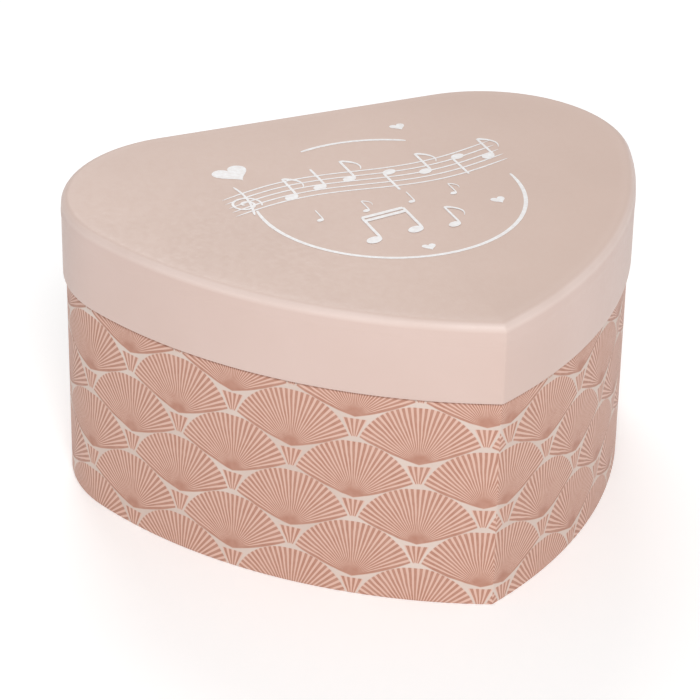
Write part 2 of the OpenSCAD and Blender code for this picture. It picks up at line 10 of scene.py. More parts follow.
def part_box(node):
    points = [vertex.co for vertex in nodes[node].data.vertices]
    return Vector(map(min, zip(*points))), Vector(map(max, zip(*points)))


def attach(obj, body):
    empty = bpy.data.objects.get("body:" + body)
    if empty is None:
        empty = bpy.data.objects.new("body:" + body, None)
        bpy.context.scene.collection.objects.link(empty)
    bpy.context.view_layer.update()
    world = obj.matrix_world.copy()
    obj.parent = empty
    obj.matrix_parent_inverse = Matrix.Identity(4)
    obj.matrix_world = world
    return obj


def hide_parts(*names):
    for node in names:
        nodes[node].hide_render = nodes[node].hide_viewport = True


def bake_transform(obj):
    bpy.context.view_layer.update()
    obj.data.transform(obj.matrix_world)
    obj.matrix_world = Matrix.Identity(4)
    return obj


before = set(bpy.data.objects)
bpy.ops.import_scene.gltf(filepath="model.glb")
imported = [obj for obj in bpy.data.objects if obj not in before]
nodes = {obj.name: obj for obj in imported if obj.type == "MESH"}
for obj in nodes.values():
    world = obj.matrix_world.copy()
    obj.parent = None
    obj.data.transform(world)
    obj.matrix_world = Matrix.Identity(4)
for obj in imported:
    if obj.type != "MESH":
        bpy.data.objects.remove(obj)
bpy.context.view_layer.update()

# ---------------------------------------------------------------------------
# Base wall. A band of thick grey board is bent round the heart shaped floor and
# wrapped in two strips of printed paper, which turn in over the rim and meet at
# the point and at the middle of the flat back.
# ---------------------------------------------------------------------------
base_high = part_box("base_wall")[1]
back_y = base_high.y
half_back = 0.0465
lobe_radius = 0.0425
side_radius = 0.156
lobe_turn = math.radians(-18.64)
point_radius = 0.0012
side_centre_x = (side_radius - lobe_radius) * math.cos(lobe_turn) - half_back
side_centre_y = back_y - lobe_radius - (side_radius - lobe_radius) * math.sin(lobe_turn)


def box_edge(out):
    """Half of the box's plan outline moved outward by out, from the middle of the back to the point."""
    reach = side_radius + out - point_radius
    point_y = side_centre_y - math.sqrt(reach**2 - side_centre_x**2)
    point_turn = -math.acos(side_centre_x / reach)
    points = [(half_back * t, back_y + out) for t in np.linspace(0, 1, 9)[:-1]]
    for a in np.linspace(math.pi / 2, lobe_turn, 30)[:-1]:
        points.append(
            (
                half_back + (lobe_radius + out) * math.cos(a),
                back_y - lobe_radius + (lobe_radius + out) * math.sin(a),
            )
        )
    for a in np.linspace(lobe_turn, point_turn, 60)[:-1]:
        points.append(
            (
                -side_centre_x + (side_radius + out) * math.cos(a),
                side_centre_y + (side_radius + out) * math.sin(a),
            )
        )
    for a in np.linspace(point_turn, -math.pi / 2, 5):
        points.append((point_radius * math.cos(a), point_y + point_radius * math.sin(a)))
    return np.array(points)


def box_ring(out, z):
    """The whole outline as a closed ring of points at one height."""
    half = box_edge(out)
    left = half[::-1][1:-1] * (-1, 1)
    plan = np.vstack([half, left])
    return np.column_stack([plan, np.full(len(plan), z)])


edge = box_edge(0)
edge_step = np.linalg.norm(np.diff(edge, axis=0), axis=1)
from_point = np.append(np.cumsum(edge_step[::-1])[::-1], 0)
ring_count = 2 * len(edge) - 2
round_the_box = np.concatenate([from_point, -from_point[::-1][1:-1]])


def add_mesh(name, points, faces, smooth=True):
    mesh = bpy.data.meshes.new(name)
    mesh.from_pydata([tuple(p) for p in points], [], [tuple(f) for f in faces])
    mesh.update()
    piece = bpy.data.objects.new(name, mesh)
    bpy.context.scene.collection.objects.link(piece)
    if smooth:
        mesh.polygons.foreach_set("use_smooth", [True] * len(mesh.polygons))
    return piece


def skin_rings(rings, loop=False):
    """Joins closed rings of equal length into faces; loop joins the last to the first."""
    n = len(rings[0])
    faces = []
    for k in range(len(rings) if loop else len(rings) - 1):
        a, b = k * n, (k + 1) % len(rings) * n
        faces += [(a + i, b + i, b + (i + 1) % n, a + (i + 1) % n) for i in range(n)]
    return faces


def face_outward(piece):
    grid = bmesh.new()
    grid.from_mesh(piece.data)
    bmesh.ops.recalc_face_normals(grid, faces=grid.faces)
    grid.to_mesh(piece.data)
    grid.free()


class Finish:
    """One node material: a Principled surface and short ways to add nodes to it."""

    def __init__(self, name):
        self.material = bpy.data.materials.new(name)
        self.material.use_nodes = True
        self.tree = self.material.node_tree
        self.surface = self.tree.nodes["Principled BSDF"]
        self.where = self.tree.nodes.new("ShaderNodeTexCoord")

    def set(self, **sockets):
        for name, value in sockets.items():
            self.surface.inputs[name.replace("_", " ")].default_value = value
        return self

    def link(self, source, socket):
        if isinstance(source, (int, float, tuple)):
            socket.default_value = source
        else:
            self.tree.links.new(source, socket)

    def sum(self, kind, a, b=0.0, c=0.0):
        node = self.tree.nodes.new("ShaderNodeMath")
        node.operation = kind
        for value, socket in zip((a, b, c), node.inputs):
            self.link(value, socket)
        return node.outputs[0]

    def noise(self, scale, detail=3.0, stretch=(1, 1, 1), rough=0.5):
        place = self.tree.nodes.new("ShaderNodeMapping")
        place.inputs["Scale"].default_value = stretch
        self.link(self.where.outputs["Object"], place.inputs["Vector"])
        node = self.tree.nodes.new("ShaderNodeTexNoise")
        node.inputs["Scale"].default_value = scale
        node.inputs["Detail"].default_value = detail
        node.inputs["Roughness"].default_value = rough
        self.link(place.outputs[0], node.inputs["Vector"])
        return node.outputs["Fac"]

    def range(self, value, low, high, to_low, to_high):
        node = self.tree.nodes.new("ShaderNodeMapRange")
        for value, socket in zip((value, low, high, to_low, to_high), node.inputs):
            self.link(value, socket)
        return node.outputs[0]

    def blend(self, amount, one, other):
        node = self.tree.nodes.new("ShaderNodeMix")
        node.data_type = "RGBA"
        self.link(amount, node.inputs["Factor"])
        self.link(one, node.inputs["A"])
        self.link(other, node.inputs["B"])
        return node.outputs["Result"]

    def bump(self, height, depth, strength=1.0):
        node = self.tree.nodes.new("ShaderNodeBump")
        node.inputs["Strength"].default_value = strength
        node.inputs["Distance"].default_value = depth
        self.link(height, node.inputs["Height"])
        self.link(node.outputs[0], self.surface.inputs["Normal"])

    def colour(self, source):
        self.link(source, self.surface.inputs["Base Color"])

    def rough(self, source):
        self.link(source, self.surface.inputs["Roughness"])


def tint(r, g, b):
    """An sRGB colour, 0 to 255, as the shader's linear colour."""
    return tuple(
        (c / 255 / 12.92) if c <= 10 else ((c / 255 + 0.055) / 1.055) ** 2.4
        for c in (r, g, b)
    ) + (1.0,)


# One fan is a sector of about 26 rays that spread from a solid hub, over a crown of
# four short stripes. Fans sit in columns, every other column half a drop down.
fan_across = 37.6
fan_drop = 26.4
fan_reach = 18.6
ray_turn = 5.25
below_hub = 8.0
hub_reach = 3.4
tail_turn = 12.8
first_fan = (-3.6, 32.4)
bare_paper = tint(218, 201, 191)
fan_ground = tint(219, 182, 166)
fan_ink = tint(178, 127, 108)

fan_print = Finish("fan_printed_paper").set(Roughness=0.5, Specular_IOR_Level=0.35)
f = fan_print
uv = f.tree.nodes.new("ShaderNodeSeparateXYZ")
f.link(f.where.outputs["UV"], uv.inputs[0])
wobble = f.sum("MULTIPLY", f.sum("SUBTRACT", f.noise(160, 2), 0.5), 0.5)
along = f.sum("ADD", f.sum("MULTIPLY", uv.outputs["X"], 1000.0), wobble)
upward = f.sum("ADD", f.sum("MULTIPLY", uv.outputs["Y"], 1000.0), wobble)
inked, grounded = 0.0, 0.0
for column in (0, 1):
    shift_x = first_fan[0] + (column - 1) * fan_across / 2
    shift_y = first_fan[1] + column * fan_drop / 2 - below_hub
    x = f.sum(
        "SUBTRACT", f.sum("FLOORED_MODULO", f.sum("SUBTRACT", along, shift_x), fan_across), fan_across / 2,
    )
    y = f.sum("SUBTRACT", f.sum("FLOORED_MODULO", f.sum("SUBTRACT", upward, shift_y), fan_drop), below_hub)
    x_size = f.sum("ABSOLUTE", x)
    reach = f.sum("SQRT", f.sum("ADD", f.sum("MULTIPLY", x, x), f.sum("MULTIPLY", y, y)))
    angle = f.sum("DEGREES", f.sum("ARCTAN2", x, y))
    stripe = f.sum("COSINE", f.sum("MULTIPLY", angle, math.tau / ray_turn))
    ray = f.range(f.sum("ADD", stripe, f.sum("DIVIDE", 2.6, reach)), -0.3, 0.35, 0.0, 1.0)
    hub = f.range(
        f.sum("SUBTRACT", reach, f.sum("MULTIPLY", stripe, 1.0)), hub_reach, hub_reach + 1.6, 1.0, 0.0,
    )
    inside = f.range(reach, fan_reach - 0.2, fan_reach + 0.1, 1.0, 0.0)
    floor_line = f.sum(
        "ADD", f.sum("MULTIPLY", f.sum("MULTIPLY", x, x), 0.0085), f.sum("MULTIPLY", x_size, 0.25),
    )
    above_floor = f.sum("SUBTRACT", y, floor_line)
    above = f.range(above_floor, -0.15, 0.15, 0.0, 1.0)
    lower_edge = f.range(above_floor, 0.5, 0.8, 1.0, 0.0)
    field = f.sum("MULTIPLY", inside, above)
    fan = f.sum("MULTIPLY", f.sum("MAXIMUM", f.sum("MAXIMUM", ray, lower_edge), hub), field)
    tail_y = f.sum("ADD", y, 8.2)
    tail_reach = f.sum("SQRT", f.sum("ADD", f.sum("MULTIPLY", x, x), f.sum("MULTIPLY", tail_y, tail_y)))
    tail_angle = f.sum("DEGREES", f.sum("ARCTAN2", x, tail_y))
    tail_wave = f.sum(
        "COSINE", f.sum("MULTIPLY", f.sum("SUBTRACT", tail_angle, tail_turn / 2), math.tau / tail_turn),
    )
    tail_on = f.sum(
        "MULTIPLY", f.range(f.sum("ABSOLUTE", tail_angle), 24.5, 26.0, 1.0, 0.0),
        f.range(tail_reach, 1.8, 2.2, 0.0, 1.0),
    )
    tail_on = f.sum("MULTIPLY", tail_on, f.range(y, -0.75, -0.5, 1.0, 0.0))
    tail = f.sum("MULTIPLY", f.range(tail_wave, -0.35, 0.25, 0.0, 1.0), tail_on)
    inked = f.sum("MAXIMUM", inked, f.sum("MAXIMUM", fan, tail))
    grounded = f.sum("MAXIMUM", grounded, f.sum("MAXIMUM", field, tail_on))
ink_cover = f.sum("MULTIPLY", inked, f.range(f.noise(420, 4), 0.3, 0.7, 0.8, 1.0))
paper_tone = f.blend(f.range(f.noise(30, 4), 0.35, 0.65, 0.0, 1.0), bare_paper, tint(208, 188, 177))
f.colour(f.blend(ink_cover, f.blend(grounded, paper_tone, fan_ground), fan_ink))
f.bump(f.sum("ADD", f.noise(900, 3), f.sum("MULTIPLY", f.noise(90, 2), 2.0)), 0.00004, 0.6)
f.rough(f.range(f.noise(500, 2), 0.3, 0.7, 0.46, 0.58))


def wrapped_paper(name, light, deep, rough=0.5):
    """Smooth cover paper: a slow drift of tone, fine tooth and soft undulation from the glue."""
    f = Finish(name).set(Specular_IOR_Level=0.4)
    f.colour(f.blend(f.range(f.noise(40, 4), 0.35, 0.65, 0.0, 1.0), tint(*light), tint(*deep)))
    f.bump(f.sum("ADD", f.noise(1100, 3), f.sum("MULTIPLY", f.noise(80, 2), 2.5)), 0.00004, 0.6)
    f.rough(f.range(f.noise(600, 2), 0.3, 0.7, rough - 0.06, rough + 0.06))
    return f


inner_paper = wrapped_paper("inner_paper", (234, 216, 206), (227, 206, 195), 0.46)

rim_z = base_high.z
board = 0.0025
wall_profile = [(-board, 0.0), (-0.0005, 0.0), (-0.00012, 0.00012), (0.0, 0.0005)]
wall_profile += [(0.0, z) for z in np.linspace(0.002, rim_z - 0.0016, 14)]
wall_profile += [
    (0.0, rim_z - 0.0007), (-0.0002, rim_z - 0.0002), (-0.0007, rim_z), (-board + 0.0005, rim_z),
    (-board, rim_z - 0.0004),
]
wall_rings = [box_ring(out, z) for out, z in wall_profile]
wall = add_mesh("base_wrap", np.vstack(wall_rings), skin_rings(wall_rings, loop=True))
uv_layer = wall.data.uv_layers.new(name="round_the_box")
right_side_gap = 0.008
for face in wall.data.polygons:
    columns = [wall.data.vertices[v].index % ring_count for v in face.vertices]
    on_left = max(columns) >= len(edge) and min(columns) > 0 or max(columns) == ring_count - 1
    for corner, column, vertex in zip(face.loop_indices, columns, face.vertices):
        u = -from_point[0] if on_left and column == 0 else round_the_box[column]
        if not on_left:
            u -= right_side_gap
        uv_layer.data[corner].uv = (u, wall.data.vertices[vertex].co.z)
face_outward(wall)
wall.data.materials.append(fan_print.material)
wall.data.materials.append(inner_paper.material)
lining_rows = {0, len(wall_rings) - 1}
for face in wall.data.polygons:
    rows = {v // ring_count for v in face.vertices}
    face.material_index = 1 if rows == lining_rows else 0
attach(wall, "case")
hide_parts("base_wall")

# ---------------------------------------------------------------------------
# Key hole. The wall is drilled through for the winding arbor, and the hole is
# lined with a pressed brass eyelet whose flange hides the paper's cut edge.
# ---------------------------------------------------------------------------
arbor_low, arbor_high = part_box("winding_arbor")
arbor_x = (arbor_low.x + arbor_high.x) / 2
arbor_z = (arbor_low.z + arbor_high.z) / 2
key_hole_radius = 0.0032
hole_ring = [
    (arbor_x + key_hole_radius * math.cos(t), arbor_z + key_hole_radius * math.sin(t))
    for t in np.linspace(0, math.tau, 40, endpoint=False)
]
drill_rings = [np.array([(x, back_y + dy, z) for x, z in hole_ring]) for dy in (-0.006, 0.004)]
drill_points = np.vstack(drill_rings)
drill_faces = skin_rings(drill_rings) + [tuple(range(39, -1, -1)), tuple(range(40, 80))]
drill = add_mesh("drill", drill_points, drill_faces, smooth=False)
face_outward(drill)
cut = wall.modifiers.new("key_hole", "BOOLEAN")
cut.operation = "DIFFERENCE"
cut.object = drill
cut.solver = "EXACT"


def settle(piece):
    """Turns a piece's modifiers into plain mesh."""
    solid = piece.evaluated_get(bpy.context.evaluated_depsgraph_get())
    mesh = bpy.data.meshes.new_from_object(
        solid, preserve_all_data_layers=True, depsgraph=bpy.context.evaluated_depsgraph_get(),
    )
    piece.modifiers.clear()
    piece.data = mesh


bpy.context.view_layer.update()
settle(wall)
bpy.data.objects.remove(drill)


def dress(finish, *names):
    """Gives CAD nodes a finish."""
    for name in names:
        piece = nodes[name]
        if not piece.material_slots:
            piece.data.materials.append(finish.material)
        for place in piece.material_slots:
            place.material = finish.material


def metal(name, bright, dull, rough, grain=(1, 1, 1), marks=0.00001):
    """Plated or polished metal: drifting tone, faint machining marks and a few fine scratches."""
    f = Finish(name).set(Metallic=1.0)
    drift = f.range(f.noise(260, 4), 0.3, 0.7, 0.0, 1.0)
    f.colour(f.blend(drift, tint(*bright), tint(*dull)))
    cuts = f.noise(2600, 2, grain)
    f.rough(
        f.range(
            f.sum("ADD", f.sum("MULTIPLY", cuts, 0.6), f.sum("MULTIPLY", drift, 0.4)), 0.3, 0.7,
            rough - 0.08, rough + 0.1,
        )
    )
    f.bump(f.sum("ADD", cuts, f.sum("MULTIPLY", f.noise(700, 3), 0.5)), marks, 0.25)
    return f


brass = metal("lacquered_brass", (222, 186, 112), (200, 158, 84), 0.26, (1, 1, 0.15))
dress(brass, "key_escutcheon")

# ---------------------------------------------------------------------------
# Floor and liner. The floor is bare grey board. The liner is a strip of thin
# board in pale satin paper that stands above the rim to steer the lid home.
# ---------------------------------------------------------------------------
grey_board = Finish("grey_board").set(Roughness=0.85)
f = grey_board
fibres = f.sum("ADD", f.noise(900, 4, (1, 0.25, 1)), f.noise(320, 5))
f.colour(f.blend(f.range(fibres, 0.8, 1.2, 0.0, 1.0), tint(196, 182, 166), tint(168, 152, 136)))
f.bump(fibres, 0.00006, 0.7)
dress(grey_board, "base_floor")


dress(inner_paper, "base_collar")

# ---------------------------------------------------------------------------
# Velvet pad. Thin foam under flocked velvet, cut to the floor round the movement
# housing and glued down. The foam lifts it in the middle and rounds its edges.
# ---------------------------------------------------------------------------
velvet = Finish("rose_velvet").set(
    Roughness=0.95, Sheen_Weight=0.7, Sheen_Roughness=0.35, Sheen_Tint=tint(240, 200, 198),
)
f = velvet
pile = f.noise(2200, 3)
brushed = f.range(f.noise(45, 4, (1, 0.5, 1)), 0.35, 0.65, 0.0, 1.0)
f.colour(
    f.blend(
        f.sum("ADD", f.sum("MULTIPLY", brushed, 0.7), f.sum("MULTIPLY", pile, 0.3)), tint(196, 128, 126),
        tint(164, 96, 97),
    )
)
f.bump(pile, 0.00012, 0.8)

pad_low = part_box("jewel_pad")[0]
pad_slack = 0.72
puff_height = 0.0011
puff_sideways = 0.25
pad = bpy.data.objects.new("velvet_pad", nodes["jewel_pad"].data.copy())
bpy.context.scene.collection.objects.link(pad)
for v in pad.data.vertices:
    v.co.z = pad_low.z + (v.co.z - pad_low.z) * pad_slack
voxels = pad.modifiers.new("even_mesh", "REMESH")
voxels.mode = "VOXEL"
voxels.voxel_size = 0.0012
bpy.context.view_layer.update()
settle(pad)
pad_start = np.array([v.co for v in pad.data.vertices])
puff = pad.modifiers.new("foam", "CLOTH")
puff.settings.use_pressure = True
puff.settings.uniform_pressure_force = 4.0
puff.settings.mass = 0.2
puff.settings.effector_weights.gravity = 0.0
puff.settings.quality = 4
puff.collision_settings.use_collision = False
puff.point_cache.frame_start = 1
puff.point_cache.frame_end = 20
for step in range(1, 21):
    bpy.context.scene.frame_set(step)
settle(pad)
bpy.context.scene.frame_set(1)
pad_now = np.array([v.co for v in pad.data.vertices])
moved = pad_now - pad_start
length = np.linalg.norm(moved, axis=1)
moved *= min(1, puff_height / max(np.percentile(length, 98), 1e-9))
moved[:, 2] = np.minimum(moved[:, 2], puff_height)
moved[:, :2] *= puff_sideways
pad_now = pad_start + moved
pad_now[:, 2] = np.maximum(pad_now[:, 2], pad_low.z)
for v, place in zip(pad.data.vertices, pad_now):
    v.co = place
even = pad.modifiers.new("even", "SMOOTH")
even.factor = 0.5
even.iterations = 3
bpy.context.view_layer.update()
settle(pad)
for v in pad.data.vertices:
    v.co.z = max(v.co.z, pad_low.z)
pad.data.materials.clear()
pad.data.materials.append(velvet.material)
pad.data.polygons.foreach_set("use_smooth", [True] * len(pad.data.polygons))
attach(pad, "case")
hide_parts("jewel_pad")

# ---------------------------------------------------------------------------
# Housing and stage. Paper covered board hides the movement. The stage is glued
# on top, with a brass bush where the dancer's spindle comes through.
# ---------------------------------------------------------------------------
dress(inner_paper, "movement_housing", "stage_board")
dress(brass, "spindle_bush")

# ---------------------------------------------------------------------------
# Movement frame. A die cast zinc bedplate screwed up through the floor, with
# cast bridges for the barrel and the cylinder and a cast rest for the comb.
# ---------------------------------------------------------------------------
cast_zinc = metal("cast_zinc", (186, 184, 178), (158, 155, 150), 0.46, marks=0.00003)
dress(
    cast_zinc, "bedplate", "barrel_bridge_rear", "barrel_bridge_front", "cylinder_bridge_rear",
    "cylinder_bridge_front", "comb_base",
)
bright_steel = metal("bright_steel", (196, 197, 200), (168, 170, 175), 0.24)
dress(bright_steel, "bedplate_screws", "bridge_screws", "comb_screws", "governor_screw", "click_screw")

# ---------------------------------------------------------------------------
# Comb and cylinder. The comb is ground from one strip of hardened steel. The
# cylinder is brass tube set with steel pins, on an arbor with a geared wheel.
# ---------------------------------------------------------------------------
ground_steel = metal("ground_steel", (206, 207, 210), (182, 184, 189), 0.2, (0.1, 1, 1))
dress(ground_steel, "comb", "cylinder_pins")
turned_brass = metal("turned_brass", (226, 190, 118), (206, 166, 92), 0.2, (1, 0.12, 1))
dress(turned_brass, "tune_cylinder", "cylinder_caps", "cylinder_wheel")
dress(bright_steel, "cylinder_arbor", "cylinder_pinion", "dancer_drive_pinion")

# ---------------------------------------------------------------------------
# Spring barrel. A drawn brass drum with a pressed cover and a cut great wheel
# holds the blued mainspring on the winding arbor.
# ---------------------------------------------------------------------------
dress(turned_brass, "spring_barrel", "barrel_cover", "great_wheel")
blued_steel = metal("blued_spring_steel", (92, 104, 138), (66, 72, 98), 0.3)
dress(blued_steel, "mainspring")
dress(bright_steel, "winding_arbor", "ratchet_wheel", "click_pawl", "click_spring")

# ---------------------------------------------------------------------------
# Governor. Brass wheel on the second arbor, a ground steel worm in a brass cage
# and a thin brass air vane that holds the speed.
# ---------------------------------------------------------------------------
dress(bright_steel, "second_arbor", "worm_spindle")
dress(brass, "worm_wheel", "governor_cage", "fan_blade", "crown_wheel")

# ---------------------------------------------------------------------------
# Winding key. A brass butterfly key: a round hub that screws on the arbor and
# two flat rings for wings, with every edge rounded by tumbling.
# ---------------------------------------------------------------------------
key_low, key_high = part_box("winding_key")
hub_radius = 0.0035
wing_radius = 0.0065
wing_y = key_high.y - wing_radius
wing_thick = 0.0022
key_points, key_faces = [], []


def add_part(points, faces, new_points, new_faces):
    base = len(points)
    points.extend(tuple(p) for p in new_points)
    faces.extend(tuple(base + i for i in face) for face in new_faces)


def turned(profile, centre, axis="z", count=48):
    """Points and faces of a solid turned from (radius, height) pairs about an axis through centre."""
    rings = []
    for r, h in profile:
        t = np.linspace(0, math.tau, count, endpoint=False)
        flat = np.column_stack([r * np.cos(t), r * np.sin(t), np.full(count, h)])
        if axis == "y":
            flat = flat[:, [0, 2, 1]]
        rings.append(flat + np.array(centre))
    faces = skin_rings(rings)
    last = (len(rings) - 1) * count
    return np.vstack(rings), faces + [tuple(range(count))[::-1], tuple(range(last, last + count))]


wing_rim = 0.0019
wing_hole = 0.0032
wing_apart = 0.0074
wing_section = [
    (wing_radius - wing_rim + wing_rim * math.cos(a), wing_thick / 2 * math.sin(a))
    for a in np.linspace(-2.0, 2.0, 11)
]
wing_section += [
    (wing_hole - 0.0003 * math.cos(a), wing_thick / 2 * math.sin(a) * 0.9)
    for a in np.linspace(2.0, -2.0, 7)
]
for s in (-1, 1):
    rings = []
    for t in np.linspace(0, math.tau, 64, endpoint=False):
        rings.append(
            np.array([
                (
                    arbor_x + s * wing_apart + r * math.cos(t), wing_y + r * math.sin(t), arbor_z + h,
                ) for r, h in wing_section
            ])
        )
    add_part(key_points, key_faces, np.vstack(rings), skin_rings(rings, loop=True))
hub_start = key_low.y
hub_long = 0.0125
hub_end = hub_start + hub_long
hub_profile = [(0.0021, hub_start), (hub_radius - 0.0004, hub_start), (hub_radius, hub_start + 0.0004)]
hub_profile += [
    (hub_radius, hub_start + 0.0035), (hub_radius - 0.0004, hub_start + 0.004),
    (hub_radius - 0.0004, hub_start + 0.0052),
]
hub_profile += [
    (hub_radius, hub_start + 0.0056), (hub_radius, hub_end - 0.002),
    (hub_radius - 0.0008, hub_end - 0.0005), (0.0016, hub_end),
]
add_part(key_points, key_faces, *turned(hub_profile, (arbor_x, 0, arbor_z), "y"))
web = []
for x in np.linspace(-0.0058, 0.0058, 9):
    half = 0.0028 - 0.0004 * math.cos(x / 0.0058 * math.pi)
    t = np.linspace(0, math.tau, 20, endpoint=False)
    section = np.column_stack(
        [
            np.full(20, arbor_x + x), wing_y + half * np.cos(t) * (1 - 0.06 * np.cos(4 * t)),
            arbor_z + 0.00105 * np.sin(t),
        ]
    )
    web.append(section)
add_part(
    key_points, key_faces, np.vstack(web),
    skin_rings(web) + [tuple(range(20))[::-1], tuple(range(160, 180))],
)
key_piece = add_mesh("butterfly_key", key_points, key_faces)
face_outward(key_piece)
key_piece.data.set_sharp_from_angle(angle=math.radians(48))
key_piece.data.materials.append(brass.material)
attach(key_piece, "key")
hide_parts("winding_key")

# ---------------------------------------------------------------------------
# Stop work. A steel pin with a wire arm lets the vane go when the lid lifts off
# it. Its brass guide is riveted to the back wall and a coil spring raises it.
# ---------------------------------------------------------------------------
dress(bright_steel, "stop_pin", "stop_pin_spring")
dress(brass, "stop_pin_guide")

# ---------------------------------------------------------------------------
# Turntable and spring foot. A moulded disc on the spindle carries a closely
# wound brass spring, so that the dancer folds down under the lid and springs up.
# ---------------------------------------------------------------------------
disc_plastic = Finish("pearl_plastic").set(Coat_Weight=0.5, Coat_Roughness=0.15, Specular_IOR_Level=0.5)
f = disc_plastic
f.colour(f.blend(f.range(f.noise(60, 3), 0.35, 0.65, 0.0, 1.0), tint(240, 228, 222), tint(232, 216, 209)))
f.rough(f.range(f.noise(500, 3), 0.3, 0.7, 0.25, 0.36))
f.bump(f.noise(400, 2), 0.00001, 0.4)
dress(disc_plastic, "dancer_disc")
dress(bright_steel, "dancer_spindle")

disc_low, disc_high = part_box("dancer_disc")
foot_low, foot_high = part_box("dancer_body")
spindle_x = (disc_low.x + disc_high.x) / 2
spindle_y = (disc_low.y + disc_high.y) / 2


def tube(path, radii, sides=12, closed_ends=True):
    """Points and faces of a round tube along a list of points."""
    path = np.array(path, float)
    radii = np.full(len(path), radii) if np.isscalar(radii) else np.array(radii)
    heading = np.gradient(path, axis=0)
    heading /= np.linalg.norm(heading, axis=1)[:, None]
    side = np.cross(heading[0], (0.31, 0.95, 0.05))
    rings = []
    for p, h, r in zip(path, heading, radii):
        side = side - h * (side @ h)
        side /= np.linalg.norm(side)
        other = np.cross(h, side)
        t = np.linspace(0, math.tau, sides, endpoint=False)
        rings.append(p + r * (np.outer(np.cos(t), side) + np.outer(np.sin(t), other)))
    faces = skin_rings(rings)
    if closed_ends:
        last = (len(rings) - 1) * sides
        faces += [tuple(range(sides))[::-1], tuple(range(last, last + sides))]
    return np.vstack(rings), faces


coil_turns = 4.6
coil_wire = 0.00042
coil_radius = 0.0015
t = np.linspace(0, 1, 150)
coil_z = disc_high.z + coil_wire + (foot_low.z - disc_high.z - 2 * coil_wire) * np.clip(
    (t - 0.08) / 0.84, 0, 1,
)
coil_path = np.column_stack([
    spindle_x + coil_radius * np.cos(t * coil_turns * math.tau),
    spindle_y + coil_radius * np.sin(t * coil_turns * math.tau),
    coil_z,
])
spring_foot = add_mesh("spring_foot", *tube(coil_path, coil_wire, 10))
spring_foot.data.materials.append(brass.material)
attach(spring_foot, "dancer")
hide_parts("dancer_spring")

# ---------------------------------------------------------------------------
# Dancer. A moulded figure on one pointed foot, arms raised in a ring, painted
# by hand: flesh, a satin bodice, pointe shoes and a pinned bun.
# ---------------------------------------------------------------------------
figure_high = 35.05
figure_scale = (foot_high.z - foot_low.z) / figure_high
foot_z = foot_low.z


def on_figure(points):
    """Places points given in millimetres above the foot on the dancer's spindle."""
    points = np.array(points, float) * figure_scale
    return points + np.array([spindle_x, spindle_y, foot_z])


def limb(path, radii, sides=16):
    """A limb as a smooth tube through a few points, thick as its radii say."""
    path, radii = np.array(path, float), np.array(radii, float)
    t = np.linspace(0, len(path) - 1, 10 * (len(path) - 1) + 1)
    k = np.arange(len(path))
    coarse = np.column_stack([np.interp(t, k, path[:, i]) for i in range(3)] + [np.interp(t, k, radii)])
    padded_path = np.vstack([np.repeat(coarse[:1], 5, 0), coarse, np.repeat(coarse[-1:], 5, 0)])
    soft = np.column_stack([np.convolve(padded_path[:, i], np.ones(11) / 11, "valid") for i in range(4)])
    soft[0], soft[-1] = coarse[0], coarse[-1]
    return tube(on_figure(soft[:, :3]), soft[:, 3] * figure_scale, sides)


def ball(centre, size, count=20):
    """An egg shape of half sizes (x, y, z)."""
    angles = np.linspace(-math.pi / 2, math.pi / 2, count)
    t = np.linspace(0, math.tau, 2 * count, endpoint=False)
    rings = []
    for a in angles:
        wide = max(math.cos(a), 0.02)
        ring = np.column_stack(
            [size[0] * wide * np.cos(t), size[1] * wide * np.sin(t), np.full(len(t), size[2] * math.sin(a))]
        )
        rings.append(on_figure(ring + np.array(centre)))
    n, last = len(t), (count - 1) * len(t)
    return np.vstack(rings), skin_rings(rings) + [tuple(range(n))[::-1], tuple(range(last, last + n))]


def moulded(name, parts, voxel):
    """Runs several overlapping forms together into one moulding."""
    points, faces = [], []
    for part in parts:
        add_part(points, faces, *part)
    piece = add_mesh(name, points, faces)
    face_outward(piece)
    join = piece.modifiers.new("join", "REMESH")
    join.mode = "VOXEL"
    join.voxel_size = voxel
    soften = piece.modifiers.new("soften", "SMOOTH")
    soften.factor = 0.5
    soften.iterations = 4
    bpy.context.view_layer.update()
    settle(piece)
    piece.data.polygons.foreach_set("use_smooth", [True] * len(piece.data.polygons))
    return piece


def painted(name, light, deep, rough=0.38, coat=0.25):
    """Brush paint on moulded plastic: tone that varies at random and a soft gloss."""
    f = Finish(name).set(Coat_Weight=coat, Coat_Roughness=0.2)
    f.colour(f.blend(f.range(f.noise(500, 4), 0.35, 0.65, 0.0, 1.0), tint(*light), tint(*deep)))
    f.rough(f.range(f.noise(900, 2), 0.3, 0.7, rough - 0.06, rough + 0.08))
    f.bump(f.noise(800, 3), 0.00002, 0.5)
    return f


